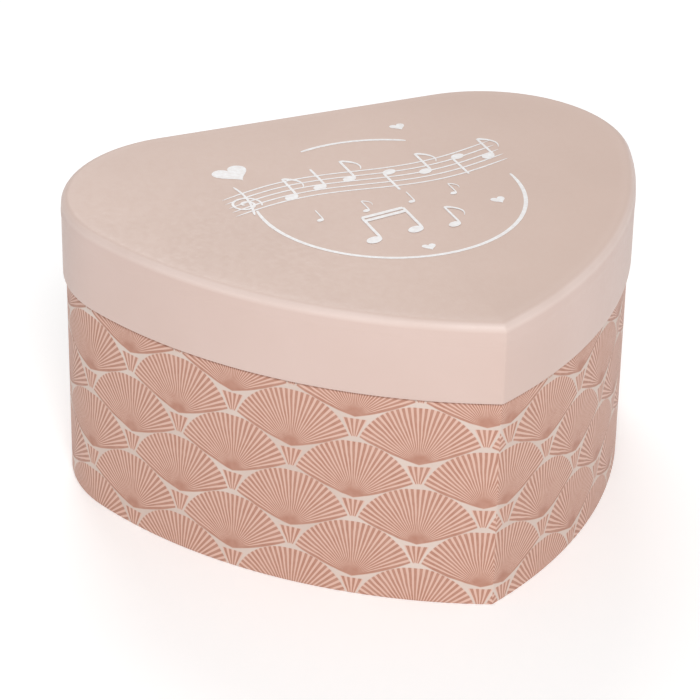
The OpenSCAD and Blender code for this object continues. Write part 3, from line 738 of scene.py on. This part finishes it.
standing_leg = limb(
    [(0, 0, 1.6), (0, 0, 3.2), (0.05, 0.12, 5.6), (0, -0.05, 8.2), (-0.25, 0, 11.5), (-0.75, 0.1, 15.2)],
    [0.52, 0.55, 0.86, 0.78, 1.2, 1.45],
)
raised_thigh = limb([(0.9, 0, 15.0), (3.0, -0.5, 13.2), (4.9, -0.9, 10.9)], [1.45, 1.15, 0.8])
raised_shin = limb([(4.9, -0.9, 10.9), (3.4, -0.75, 9.5), (1.5, -0.5, 8.1)], [0.8, 0.86, 0.5])
neck = limb([(0, 0.05, 22.6), (0, 0, 24.4), (0, 0, 26.4)], [1.1, 0.72, 0.78])
shoulders = limb(
    [(-2.5, 0, 22.7), (-1.2, 0, 23.2), (0, 0, 23.3), (1.2, 0, 23.2), (2.5, 0, 22.7)],
    [0.72, 0.9, 0.95, 0.9, 0.72],
)
arms = [
    limb([
        (s * 2.5, 0, 22.8), (s * 4.7, -0.2, 25.0), (s * 5.75, -0.3, 28.3), (s * 4.7, -0.3, 32.0),
        (s * 2.2, -0.3, 33.9), (s * 0.95, -0.35, 34.2),
    ],
         [0.76, 0.66, 0.55, 0.45, 0.36, 0.24])
    for s in (-1, 1)
]
hips = ball((0, 0, 15.6), (2.0, 1.6, 1.9))
chest = ball((0, 0, 21.4), (1.95, 1.45, 2.2))
skull = ball((0, 0.15, 28.3), (2.0, 2.15, 2.35))
jaw = ball((0, -0.35, 27.1), (1.45, 1.6, 1.75))
nose = ball((0, -2.08, 27.7), (0.24, 0.3, 0.36), 10)
ears = [ball((s * 1.98, 0.2, 27.8), (0.22, 0.35, 0.5), 10) for s in (-1, 1)]
figure = moulded(
    "dancer_figure",
    [standing_leg, raised_thigh, raised_shin, neck, shoulders, hips, chest, skull, jaw, nose, *arms, *ears],
    0.00022,
)
flesh = painted("painted_flesh", (238, 204, 184), (228, 188, 166))
figure.data.materials.append(flesh.material)
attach(figure, "dancer")
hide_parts("dancer_body")

bodice_parts = [
    ball((0, 0, 21.3), (2.12, 1.62, 2.0)), ball((0, 0, 15.7), (2.18, 1.78, 1.8)),
    limb([(0, 0, 15.2), (0, 0, 18.4), (0, 0, 21.2)], [1.9, 1.42, 1.75], 24),
    ball((-0.85, -0.95, 21.7), (0.85, 0.75, 0.8), 12), ball((0.85, -0.95, 21.7), (0.85, 0.75, 0.8), 12),
]
bodice_parts += [
    limb(
        [(s * 0.95, -1.2, 22.3), (s * 1.45, -0.7, 23.6), (s * 1.5, 0.3, 23.9), (s * 1.1, 1.1, 22.6)],
        [0.2] * 4, 8,
    )
    for s in (-1, 1)
]
bodice = moulded("dancer_bodice", bodice_parts, 0.0002)
rose_satin = painted("rose_satin_paint", (226, 160, 160), (206, 134, 138), 0.28, 0.6)
bodice.data.materials.append(rose_satin.material)
shoe_parts = [
    limb([(0, 0, 0.05), (0, 0, 0.9), (0, -0.02, 2.1)], [0.5, 0.68, 0.6]),
    limb([(1.55, -0.5, 8.15), (0.9, -0.45, 7.4), (0.35, -0.5, 6.4)], [0.6, 0.62, 0.35]),
]
for k in range(3):
    t = np.linspace(0, math.tau, 25)
    turn_z = 2.5 + 0.55 * k
    shoe_parts.append(
        limb(
            [
                (0.66 * math.cos(a), 0.66 * math.sin(a), turn_z + 0.25 * math.sin(a * (1 if k % 2 else -1)))
                for a in t
            ],
            [0.11] * 25, 8,
        )
    )
shoes = moulded("pointe_shoes", shoe_parts, 0.00012)
shoes.data.materials.append(rose_satin.material)
hair_parts = [ball((0, 0.5, 28.75), (2.2, 2.15, 2.25)), ball((0, 1.35, 31.0), (1.25, 1.15, 1.0))]
t = np.linspace(0, math.tau, 25)
hair_parts.append(limb([(1.02 * math.cos(a), 1.3 + 1.0 * math.sin(a), 30.45) for a in t], [0.28] * 25, 8))
hair_parts += [
    limb([(s * 0.2, -1.55, 30.0), (s * 1.5, -1.3, 29.2), (s * 2.12, 0.1, 28.2)], [0.3, 0.35, 0.3], 10)
    for s in (-1, 1)
]
hair = moulded("dancer_hair", hair_parts, 0.0002)
brown_hair = painted("painted_hair", (112, 74, 52), (82, 52, 36), 0.34, 0.3)
f = brown_hair
f.bump(f.noise(1500, 2, (1, 1, 0.12)), 0.00006, 0.8)
hair.data.materials.append(brown_hair.material)
face_parts = []
for s in (-1, 1):
    face_parts.append(
        limb(
            [(s * 0.42, -1.9, 28.05), (s * 0.78, -1.86, 27.92), (s * 1.12, -1.66, 28.05)],
            [0.05, 0.11, 0.05], 8,
        )
    )
    face_parts.append(
        limb(
            [(s * 0.4, -1.93, 28.85), (s * 0.8, -1.86, 29.0), (s * 1.18, -1.62, 28.85)], [0.04, 0.06, 0.03],
            8,
        )
    )
brow_paint = moulded("eyes_and_brows", face_parts, 0.00006)
brow_paint.data.materials.append(brown_hair.material)
lips = moulded(
    "lips", [limb([(-0.42, -1.86, 26.72), (0, -1.98, 26.68), (0.42, -1.86, 26.72)], [0.05, 0.15, 0.05], 8)],
    0.00006,
)
lip_paint = painted("lip_paint", (204, 92, 96), (186, 78, 84), 0.3, 0.4)
lips.data.materials.append(lip_paint.material)
for piece in (bodice, shoes, hair, brow_paint, lips):
    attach(piece, "dancer")

# ---------------------------------------------------------------------------
# Tutu. Three discs of stiff rose net gathered on to the hips, each frilled a
# little more than the one under it, with a satin band over the gathers.
# ---------------------------------------------------------------------------
net = Finish("rose_net").set(Roughness=0.7, Sheen_Weight=0.4, Alpha=0.9)
f = net
weave = f.noise(3400, 1)
f.colour(f.blend(f.range(weave, 0.4, 0.6, 0.0, 1.0), tint(246, 214, 214), tint(228, 184, 187)))
f.bump(weave, 0.00005, 0.7)
tutu_low, tutu_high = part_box("dancer_tutu")
tutu_reach = (tutu_high.x - tutu_low.x) / 2 * 1000
for layer, (reach, lift, frill, fold_count) in enumerate(
    ((tutu_reach, -0.75, 0.34, 22), (tutu_reach - 0.5, 0.0, 0.42, 26), (tutu_reach - 1.3, 0.7, 0.5, 30))
):
    r = np.random.default_rng(20 + layer)
    rings = []
    phase = r.uniform(0, math.tau)
    for t in np.linspace(0, 1, 22):
        radius = 1.75 + (reach - 1.75) * t
        turn = np.linspace(0, math.tau, 240, endpoint=False)
        uneven = 0.25 * np.sin(3 * turn + phase) + 0.18 * np.sin(7 * turn + 2 * phase)
        wave = np.sin(fold_count * turn + phase + uneven * 2)
        z = 16.0 + lift * t**0.8 - 0.55 * t**2 + frill * t**1.1 * wave + 0.3 * uneven * t
        out = radius + 0.12 * t * np.cos(fold_count * turn + phase)
        rings.append(on_figure(np.column_stack([out * np.cos(turn), out * np.sin(turn), z])))
    skirt = add_mesh(f"tutu_net_{layer + 1}", np.vstack(rings), skin_rings(rings))
    thick = skirt.modifiers.new("net", "SOLIDIFY")
    thick.thickness = 0.00012
    bpy.context.view_layer.update()
    settle(skirt)
    skirt.data.polygons.foreach_set("use_smooth", [True] * len(skirt.data.polygons))
    skirt.data.materials.append(net.material)
    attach(skirt, "dancer")
    if layer == 0:
        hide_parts("dancer_tutu")
t = np.linspace(0, math.tau, 49)
band = limb(
    [(2.02 * math.cos(a), 1.68 * math.sin(a), 16.9 + 0.12 * math.sin(9 * a)) for a in t], [0.26] * 49, 8,
)
waist_band = add_mesh("waist_band", *band)
waist_band.data.materials.append(rose_satin.material)
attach(waist_band, "dancer")

# ---------------------------------------------------------------------------
# Cloth hinge. A strip of paper backed book cloth glued across the back, half on
# the base and half on the lid, so that the lid turns on the bare fold.
# ---------------------------------------------------------------------------
leaf_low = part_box("hinge_leaf_lower")[0]
leaf_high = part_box("hinge_leaf_upper")[1]
cloth_thick = 0.0004
base_back = leaf_low.y
lid_back = leaf_high.y - cloth_thick
hinge_z = (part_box("hinge_leaf_lower")[1].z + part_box("hinge_leaf_upper")[0].z) / 2
half_hinge = leaf_high.x
cloth_rows = [(base_back, leaf_low.z), (base_back, leaf_low.z + 0.0004)]
cloth_rows += [(base_back, z) for z in np.linspace(leaf_low.z + 0.002, hinge_z - 0.0014, 8)]
for t in np.linspace(0, 1, 9):
    cloth_rows.append(
        (base_back + (lid_back - base_back) * (3 * t**2 - 2 * t**3), hinge_z - 0.0009 + 0.0018 * t)
    )
cloth_rows += [(lid_back, z) for z in np.linspace(hinge_z + 0.0014, leaf_high.z - 0.002, 8)]
cloth_rows += [(lid_back, leaf_high.z - 0.0004), (lid_back, leaf_high.z)]
across = np.linspace(-half_hinge, half_hinge, 61)
fray = np.random.default_rng(11).uniform(-0.00012, 0.00012, (len(cloth_rows), len(across)))
rings = []
for k, (y, z) in enumerate(cloth_rows):
    edge_in = 0.00022 if k in (0, len(cloth_rows) - 1) else 0.0
    outer = np.column_stack(
        [across, np.full(61, y + cloth_thick - edge_in), z + fray[k] * (k in (0, len(cloth_rows) - 1))]
    )
    inner = np.column_stack([across[::-1], np.full(61, y + 0.00003), np.full(61, z)])
    rings.append(np.vstack([outer, inner]))
n, last = 122, (len(rings) - 1) * 122
hinge_faces = skin_rings(rings)
hinge_faces += [(i, i + 1, 120 - i, 121 - i) for i in range(60)]
hinge_faces += [(last + i + 1, last + i, last + 121 - i, last + 120 - i) for i in range(60)]
hinge_cloth = add_mesh("hinge_cloth", np.vstack(rings), hinge_faces)
face_outward(hinge_cloth)
hinge_cloth.data.set_sharp_from_angle(angle=math.radians(50))
book_cloth = Finish("book_cloth").set(Roughness=0.72, Sheen_Weight=0.15)
f = book_cloth
spot = f.tree.nodes.new("ShaderNodeSeparateXYZ")
f.link(f.where.outputs["Object"], spot.inputs[0])
warp = f.sum("SINE", f.sum("MULTIPLY", spot.outputs["X"], math.tau / 0.00055))
weft = f.sum("SINE", f.sum("MULTIPLY", spot.outputs["Z"], math.tau / 0.00055))
threads = f.sum(
    "ADD", f.sum("MULTIPLY", f.sum("MULTIPLY", warp, weft), 0.5), f.sum("MULTIPLY", f.noise(900, 3), 0.8),
)
f.colour(f.blend(f.range(threads, -0.3, 1.0, 0.0, 1.0), tint(206, 174, 158), tint(222, 194, 180)))
f.bump(threads, 0.00007, 0.7)
hinge_cloth.data.materials.append(book_cloth.material)
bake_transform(hinge_cloth)
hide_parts("hinge_leaf_lower", "hinge_leaf_upper")

# ---------------------------------------------------------------------------
# Ribbon stay. Satin ribbon glued to the liner and to the lid on the left side.
# It is made folded towards the back, as it lies with the lid shut; on the real box it draws straight as the
# lid opens.
# ---------------------------------------------------------------------------
ribbon_wide = 0.0102
ribbon_thick = 0.0003
anchor_y, fold_y = 0.006, 0.037
low_anchor_z, fold_z, high_anchor_z = 0.056, 0.069, 0.082
fold_radius = 0.0035
liner_x, lid_board_x, middle_x = -0.0810, -0.0834, -0.0752
t = np.linspace(0, 1, 34)
low_leg = np.column_stack(
    [anchor_y + (fold_y - anchor_y) * t, low_anchor_z + (fold_z - fold_radius - low_anchor_z) * t]
)
high_leg = np.column_stack(
    [fold_y - (fold_y - anchor_y) * t, fold_z + fold_radius + (high_anchor_z - fold_z - fold_radius) * t]
)
bend_turn = np.linspace(-math.pi / 2, math.pi / 2, 14)[1:-1]
bend = np.column_stack([fold_y + fold_radius * np.cos(bend_turn), fold_z + fold_radius * np.sin(bend_turn)])
ribbon_path = np.vstack([low_leg, bend, high_leg])
heading = np.gradient(ribbon_path, axis=0)
heading /= np.linalg.norm(heading, axis=1)[:, None]
over = np.column_stack([-heading[:, 1], heading[:, 0]])
t = np.linspace(0, 1, len(ribbon_path))
ripple = 0.0007 * np.sin(t * 7 * math.pi) * np.sin(t * math.pi)
ribbon_path = ribbon_path + over * ripple[:, None]
flat_end = np.clip((np.minimum(t, 1 - t) - 0.06) / 0.2, 0, 1)
twist = (3 * flat_end**2 - 2 * flat_end**3) * math.pi / 2
rings = []
for place, sideways, angle, where in zip(ribbon_path, over, twist, t):
    end_x = liner_x if where < 0.5 else lid_board_x
    centre = np.array([end_x + (middle_x - end_x) * math.sin(angle) ** 2, *place])
    broad = np.array([math.sin(angle), *(sideways * math.cos(angle))])
    face = np.array([math.cos(angle), *(-sideways * math.sin(angle))])
    section = [
        centre + broad * c * ribbon_wide + face * ribbon_thick / 2
        for c in np.linspace(-0.5, 0.5, 9)
    ]
    section += [
        centre + broad * c * ribbon_wide - face * ribbon_thick / 2
        for c in np.linspace(0.5, -0.5, 9)
    ]
    rings.append(np.array(section))
last = (len(rings) - 1) * 18
ribbon_faces = skin_rings(rings) + [tuple(range(18))[::-1], tuple(range(last, last + 18))]
ribbon = add_mesh("ribbon_stay_satin", np.vstack(rings), ribbon_faces)
face_outward(ribbon)
satin = Finish("rose_satin_ribbon").set(Roughness=0.3, Sheen_Weight=0.3, Anisotropic=0.5)
f = satin
rib = f.noise(900, 2, (1, 0.1, 1))
f.colour(f.blend(f.range(rib, 0.35, 0.65, 0.0, 1.0), tint(228, 180, 174), tint(219, 168, 163)))
f.bump(rib, 0.00001, 0.3)
ribbon.data.materials.append(satin.material)
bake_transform(ribbon)
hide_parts("ribbon_stay")

# ---------------------------------------------------------------------------
# Lid. A shallow heart shaped tray of the same board in plain blush paper. The
# cover paper is turned down over a softly rounded top edge, and its cut edge
# shows as a faint ridge on the side band.
# ---------------------------------------------------------------------------
lid_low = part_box("lid_skirt")[0]
lid_top_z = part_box("lid_top")[1].z
lining_top_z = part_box("lid_lining")[1].z
overhang = 0.001
lid_board = 0.0025
shoulder = 0.0026
crown = 0.0009
turned_edge_z = lid_top_z - 0.0068


def slow_wave(seed, size, waves=(3, 5, 8, 13, 21)):
    """A closed, smooth random wave round the box, one value for each point of a ring."""
    r = np.random.default_rng(seed)
    turn = np.arange(ring_count) / ring_count * math.tau
    return size * sum(
        math.sin(r.uniform(0, 6)) * np.sin(k * turn + r.uniform(0, 6)) / (1 + 0.3 * i)
        for i, k in enumerate(waves)
    )


lid_profile = [
    (overhang - lid_board, lid_low.z), (overhang - 0.0006, lid_low.z),
    (overhang - 0.00015, lid_low.z + 0.00015), (overhang, lid_low.z + 0.0006),
]
lid_profile += [(overhang, z) for z in np.linspace(lid_low.z + 0.002, turned_edge_z - 0.0012, 7)]
lid_profile += [(overhang, turned_edge_z - 0.0003), (overhang + 0.00012, turned_edge_z + 0.0003)]
lid_profile += [(overhang + 0.0001, turned_edge_z + 0.0014)]
shoulder_z = lid_top_z - crown - shoulder
for a in np.linspace(0, math.pi / 2, 9):
    lid_profile.append((overhang - shoulder + shoulder * math.cos(a), shoulder_z + shoulder * math.sin(a)))
lid_rings = []
edge_wave = slow_wave(3, 0.00035)
for out, z in lid_profile:
    ring = box_ring(out, z)
    if abs(z - turned_edge_z) < 0.0004:
        ring[:, 2] += edge_wave
    lid_rings.append(ring)
top_ring = lid_rings[-1]
top_centre = np.array([0.0, -0.006])
for t in (0.992, 0.975, 0.94, 0.9, 0.84, 0.77, 0.7, 0.62, 0.54, 0.45, 0.36, 0.27, 0.18, 0.09):
    ring = top_ring.copy()
    ring[:, :2] = top_centre + (top_ring[:, :2] - top_centre) * t
    ring[:, 2] = top_ring[:, 2] + crown * (1 - t**4) ** 1.0 * (1 - 0.25 * t)
    lid_rings.append(ring)
points = np.vstack(lid_rings)
faces = skin_rings(lid_rings)
last = len(points) - ring_count
points = np.vstack([points, [[*top_centre, lid_top_z]]])
faces += [(last + i, last + (i + 1) % ring_count, len(points) - 1) for i in range(ring_count)]
inner_top = box_ring(overhang - lid_board, lining_top_z)
first_inner = len(points)
points = np.vstack([points, inner_top, [[*top_centre, lining_top_z]]])
faces += [
    (first_inner + i, i, (i + 1) % ring_count, first_inner + (i + 1) % ring_count)
    for i in range(ring_count)
]
faces += [(first_inner + (i + 1) % ring_count, first_inner + i, len(points) - 1) for i in range(ring_count)]
lid_shell = add_mesh("lid_shell", points, faces)
face_outward(lid_shell)
lid_shell.data.set_sharp_from_angle(angle=math.radians(50))

lid_paper = Finish("blush_lid_paper").set(Roughness=0.42, Specular_IOR_Level=0.4)
f = lid_paper
height = f.tree.nodes.new("ShaderNodeSeparateXYZ")
f.link(f.where.outputs["Object"], height.inputs[0])
# Painted shade: the one cover paper is coloured lighter on the side band and darker on the top, for the way
# the light falls on them; band picks the top colour near the top.
band = f.range(height.outputs["Z"], lid_top_z - 0.0035, lid_top_z - 0.0005, 0.0, 1.0)
lit_band_paper = f.blend(
    f.range(f.noise(22, 4), 0.35, 0.65, 0.0, 1.0), tint(216, 192, 183), tint(212, 187, 177),
)
shaded_top_paper = f.blend(f.range(f.noise(16, 4), 0.35, 0.65, 0.0, 1.0), tint(212, 186, 173), tint(207, 181, 168))
# Painted highlight: a lighter paper colour in a strip along the rounded top edge, where the light catches
# the shoulder, broken up by a slow noise.
painted_shoulder_highlight = f.sum(
    "MULTIPLY", f.range(height.outputs["Z"], lid_top_z - 0.0038, lid_top_z - 0.0026, 0.0, 1.0),
    f.range(height.outputs["Z"], lid_top_z - 0.0014, lid_top_z - 0.0008, 0.85, 0.0),
)
painted_shoulder_highlight = f.sum("MULTIPLY", painted_shoulder_highlight, f.range(f.noise(30, 4), 0.3, 0.6, 0.6, 1.0))
f.colour(f.blend(painted_shoulder_highlight, f.blend(band, lit_band_paper, shaded_top_paper), tint(230, 210, 202)))
f.bump(f.sum("ADD", f.noise(1100, 3), f.sum("MULTIPLY", f.noise(60, 3, (1, 1, 0.4)), 3.0)), 0.00004, 0.55)
f.rough(f.range(f.noise(600, 2), 0.3, 0.7, 0.4, 0.5))
lid_shell.data.materials.append(f.material)
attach(lid_shell, "lid")
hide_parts("lid_top", "lid_skirt")

# ---------------------------------------------------------------------------
# White print on the lid. A thin film of white ink: an open ring, hearts of
# several sizes, and a flowing stave with notes where such lids carry a motto.
# ---------------------------------------------------------------------------
ring_centre = (0.0033, 0.0038)
ring_radius = 0.0405
film = 0.00005
print_place = (-0.0012, -0.005)
lid_surface = BVHTree.FromPolygons(
    [v.co.copy() for v in lid_shell.data.vertices], [tuple(p.vertices) for p in lid_shell.data.polygons],
)
print_points, print_faces = [], []
laid_down = [film]
next_film = 0.0000015


def on_lid(x, y):
    x, y = x + print_place[0], y + print_place[1]
    hit = lid_surface.ray_cast(Vector((x, y, 0.2)), Vector((0, 0, -1)))[0]
    return (x, y, hit.z + laid_down[0])


def print_stroke(path, width, ends=0.3):
    """A line of ink along path in millimetres, width wide, drawn in to a point at its ends."""
    laid_down[0] += next_film
    path = np.array(path, float)
    step = np.gradient(path, axis=0)
    side = np.column_stack([-step[:, 1], step[:, 0]]) / np.linalg.norm(step, axis=1)[:, None]
    t = np.linspace(0, 1, len(path))
    swell = np.clip(np.minimum(t, 1 - t) / 0.08, 0, 1) ** 0.5 * (1 - ends) + ends
    wide = (np.full(len(path), width) if np.isscalar(width) else np.array(width)) * swell
    base = len(print_points)
    for s in (-0.5, 0.0, 0.5):
        for p in path + side * (wide * s)[:, None]:
            print_points.append(on_lid(p[0] / 1000, p[1] / 1000))
    n = len(path)
    for k in (0, 1):
        print_faces.extend(
            (base + k * n + i, base + k * n + i + 1, base + (k + 1) * n + i + 1, base + (k + 1) * n + i)
            for i in range(n - 1)
        )


def print_shape(outline):
    """A solid shape of ink from its outline in millimetres, filled from its middle."""
    laid_down[0] += next_film
    outline = np.array(outline, float)
    middle = outline.mean(0)
    base = len(print_points)
    n = len(outline)
    for t in (1.0, 0.66, 0.33):
        for p in middle + (outline - middle) * t:
            print_points.append(on_lid(p[0] / 1000, p[1] / 1000))
    print_points.append(on_lid(middle[0] / 1000, middle[1] / 1000))
    for k in (0, 1):
        print_faces.extend(
            (
                base + k * n + i, base + k * n + (i + 1) % n, base + (k + 1) * n + (i + 1) % n,
                base + (k + 1) * n + i,
            )
            for i in range(n)
        )
    print_faces.extend((base + 2 * n + i, base + 2 * n + (i + 1) % n, base + 3 * n) for i in range(n))


def print_heart(x, y, size, lean):
    t = np.linspace(0, math.tau, 48, endpoint=False)
    hx = 16 * np.sin(t) ** 3 / 32 * size
    hy = (13 * np.cos(t) - 5 * np.cos(2 * t) - 2 * np.cos(3 * t) - np.cos(4 * t)) / 32 * size
    a = math.radians(lean)
    print_shape(
        np.column_stack([x + hx * math.cos(a) - hy * math.sin(a), y + hx * math.sin(a) + hy * math.cos(a)])
    )


for start, end in ((108, 59), (2, -187)):
    a = np.radians(np.linspace(start, end, 8 + int(abs(end - start) / 2)))
    r = ring_radius * 1000
    print_stroke(
        np.column_stack([ring_centre[0] * 1000 + r * np.cos(a), ring_centre[1] * 1000 + r * np.sin(a)]),
        1.25, 0.5,
    )
for x, y, size, lean in (
    (-34.5, 35.5, 11.5, 14), (26.2, 49.2, 5.0, 8), (32.6, -10.0, 4.6, 8), (0.6, -31.0, 4.2, 0),
):
    print_heart(x, y, size, lean)


def stave_line(x, k):
    """Height of line k of the stave at x: it rises to the right in one slow wave."""
    return 17.0 + 0.10 * x + 3.4 * math.sin((x + 46) / 92 * math.tau) + (k - 2) * (
        2.9
        + 0.5 * math.sin((x + 40) / 60)
    )


for k in range(5):
    x = np.linspace(-44, 48, 90)
    print_stroke(np.column_stack([x, [stave_line(v, k) for v in x]]), 0.72, 0.2)


def print_note(x, y, size, flag=True, open_head=False, up=True):
    """A note: a leaning oval head, a stem and a flag."""
    t = np.linspace(0, math.tau, 28, endpoint=False)
    a = math.radians(24)
    head = np.column_stack([1.35 * np.cos(t), 0.92 * np.sin(t)]) * size
    head = np.column_stack(
        [
            x + head[:, 0] * math.cos(a) - head[:, 1] * math.sin(a),
            y + head[:, 0] * math.sin(a) + head[:, 1] * math.cos(a),
        ]
    )
    print_shape(head)
    s = 1 if up else -1
    sx = x + s * 1.15 * size
    top = y + s * 7.2 * size
    print_stroke(
        [(sx, y + s * 0.4 * size + (top - y) * v) for v in np.linspace(0, 0.95, 8)], 0.5 * size, 0.8,
    )
    if flag:
        v = np.linspace(0, 1, 14)
        print_stroke(
            np.column_stack([sx + size * 2.6 * np.sin(v * 2.2), top - s * size * 4.4 * v**1.3]),
            0.75 * size * (1.15 - v), 0.4,
        )
    return sx, top


for x, k, up, flag in (
    (-24, 0.5, True, True), (-13.5, 1.5, True, False), (-3, 2.5, True, True), (10, 3.0, False, False),
    (20.5, 2.0, True, True), (34, 3.2, False, False), (43, 1.5, True, True),
):
    print_note(x, stave_line(x, k), 1.75, flag, up=up)
v = np.linspace(0, 1, 90)
clef_turn = v * 3.3 * math.tau / 2 - 0.5
clef_reach = 4.6 * (1 - v) ** 0.7 + 0.25
print_stroke(
    np.column_stack(
        [-38.5 + clef_reach * np.cos(clef_turn), stave_line(-38.5, 1.6) + clef_reach * np.sin(clef_turn)]
    ),
    0.85, 0.4,
)
print_stroke(
    [
        (-38.6 + 1.9 * math.sin(t * 2.6), stave_line(-38.5, 1.6) - 7.5 + 20 * t)
        for t in np.linspace(0, 1, 40)
    ],
    0.8, 0.3,
)
for x in (-24, -9, 6, 20):
    print_note(x + 2, -2.5 + 0.06 * x, 0.9, flag=x in (-9, 20))
left = print_note(-12.5, -21.5, 2.0, flag=False)
right = print_note(1.5, -19.5, 2.0, flag=False)
for drop in (0.0, 2.2):
    print_stroke(
        [
            (left[0] + (right[0] - left[0]) * t, left[1] - drop + (right[1] - left[1]) * t)
            for t in np.linspace(0, 1, 12)
        ],
        1.5, 0.9,
    )
print_note(13.5, -20.5, 1.6, flag=True)

lid_print = add_mesh("lid_print", print_points, print_faces)
white_ink = Finish("white_ink").set(Roughness=0.45)
f = white_ink
f.colour(f.blend(f.range(f.noise(700, 3), 0.35, 0.7, 0.0, 1.0), tint(244, 243, 243), tint(232, 226, 224)))
f.bump(f.noise(900, 3), 0.00002, 0.4)
lid_print.data.materials.append(f.material)
for p in lid_print.data.polygons:
    if p.normal.z < 0:
        p.flip()
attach(lid_print, "lid")

# ---------------------------------------------------------------------------
# Mirror, frame and flocked lining. The lining card is flocked on one side and
# cut out for a silvered glass, which a rolled gilt frame holds in the lid.
# ---------------------------------------------------------------------------
lining_low, lining_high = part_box("lid_lining")
frame_low, frame_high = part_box("mirror_frame")
mirror_inset = 0.024
frame_wide = 0.003
inner_out = overhang - lid_board
lining_profile = [(inner_out - 0.0002, lining_high.z - 0.0001), (inner_out - 0.0002, lining_low.z + 0.0004)]
lining_profile += [(inner_out - 0.0006, lining_low.z + 0.0001), (inner_out - 0.0016, lining_low.z - 0.0001)]
lining_profile += [
    (
        out,
        lining_low.z - 0.0002 - 0.0003 * math.sin((out - inner_out) / (mirror_inset + inner_out) * math.pi),
    )
    for out in np.linspace(inner_out - 0.003, -mirror_inset + 0.002, 12)
]
lining_profile += [(-mirror_inset + 0.0006, lining_low.z), (-mirror_inset + 0.0003, lining_high.z - 0.0001)]
lining_rings = [box_ring(out, z) for out, z in lining_profile]
lining = add_mesh("flocked_lining", np.vstack(lining_rings), skin_rings(lining_rings, loop=True))
face_outward(lining)
lining.data.materials.append(velvet.material)
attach(lining, "lid")
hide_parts("lid_lining")

bead_rings = []
for k in range(14):
    a = math.pi * k / 13
    out = -mirror_inset + frame_wide / 2 + frame_wide / 2 * math.cos(a)
    ring = box_ring(out, frame_high.z)
    bead = 1 + 0.07 * np.sin(np.arange(ring_count) * math.pi)
    ring[:, 2] -= (frame_high.z - frame_low.z) * max(math.sin(a), 0.0) ** 0.7 * bead
    bead_rings.append(ring)
bead_rings.append(box_ring(-mirror_inset + 0.0003, frame_high.z + 0.00005))
gilt_frame = add_mesh("gilt_frame", np.vstack(bead_rings), skin_rings(bead_rings, loop=True))
face_outward(gilt_frame)
gilt = metal("rolled_gilt", (226, 184, 128), (206, 158, 104), 0.3)
gilt_frame.data.materials.append(gilt.material)
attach(gilt_frame, "lid")
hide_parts("mirror_frame")

silvered = Finish("silvered_glass").set(Metallic=1.0, Coat_Weight=1.0, Coat_Roughness=0.02)
f = silvered
f.colour(f.blend(f.range(f.noise(25, 4), 0.3, 0.7, 0.0, 1.0), tint(236, 240, 241), tint(228, 233, 235)))
f.rough(f.range(f.noise(300, 4), 0.4, 0.8, 0.015, 0.05))
dress(silvered, "mirror_glass")
dress(inner_paper, "stop_presser")

# ---------------------------------------------------------------------------
# Table and light. A pale table top, a broad light over the left shoulder and
# weaker ones to the right and from behind.
# ---------------------------------------------------------------------------
floor_mesh = add_mesh("table_top", [(-3, -3, 0), (3, -3, 0), (3, 3, 0), (-3, 3, 0)], [(0, 1, 2, 3)])
table = Finish("white_table").set(Roughness=0.6, Emission_Color=(1, 1, 1, 1), Emission_Strength=0.2)
table.colour(table.blend(table.noise(4, 2), (0.93, 0.93, 0.93, 1), (0.95, 0.95, 0.95, 1)))
floor_mesh.data.materials.append(table.material)

world = bpy.data.worlds.new("studio")
bpy.context.scene.world = world
world.use_nodes = True
world.node_tree.nodes["Background"].inputs["Color"].default_value = (1, 1, 1, 1)
world.node_tree.nodes["Background"].inputs["Strength"].default_value = 0.44


def add_light(name, place, size, power, aim=(0, 0, 0.045), colour=(1, 1, 1)):
    lamp = bpy.data.lights.new(name, "AREA")
    lamp.shape = "DISK"
    lamp.size = size
    lamp.energy = power
    lamp.color = colour
    piece = bpy.data.objects.new(name, lamp)
    bpy.context.scene.collection.objects.link(piece)
    piece.location = place
    piece.rotation_euler = (Vector(aim) - Vector(place)).to_track_quat("-Z", "Y").to_euler()
    return piece


add_light("key_light", (-0.44, -1.36, 1.25), 0.7, 18)
add_light("fill_light", (1.3, -0.7, 0.8), 1.0, 0.4)
add_light("back_light", (0.3, 1.3, 1.2), 0.9, 8.5)

aim = Vector((-0.00868, 0.00103, 0.04202))
lens_mm, camera_distance = 155.6, 0.9192
turn, tilt, roll = math.radians(-23.66), math.radians(28.48), math.radians(1.08)
back = Vector((math.sin(turn) * math.cos(tilt), -math.cos(turn) * math.cos(tilt), math.sin(tilt)))
side = Vector((math.cos(turn), math.sin(turn), 0))
up = back.cross(side)
right = side * math.cos(roll) + up * math.sin(roll)
upright = up * math.cos(roll) - side * math.sin(roll)
camera = bpy.data.objects.new("camera", bpy.data.cameras.new("camera"))
bpy.context.scene.collection.objects.link(camera)
camera.data.sensor_width = 36
camera.data.lens = lens_mm
camera.data.clip_start = 0.05
turned = Matrix((right, upright, back)).transposed().to_4x4()
camera.matrix_world = Matrix.Translation(aim + back * camera_distance) @ turned
bpy.context.scene.camera = camera
bpy.context.scene.view_settings.view_transform = "Standard"
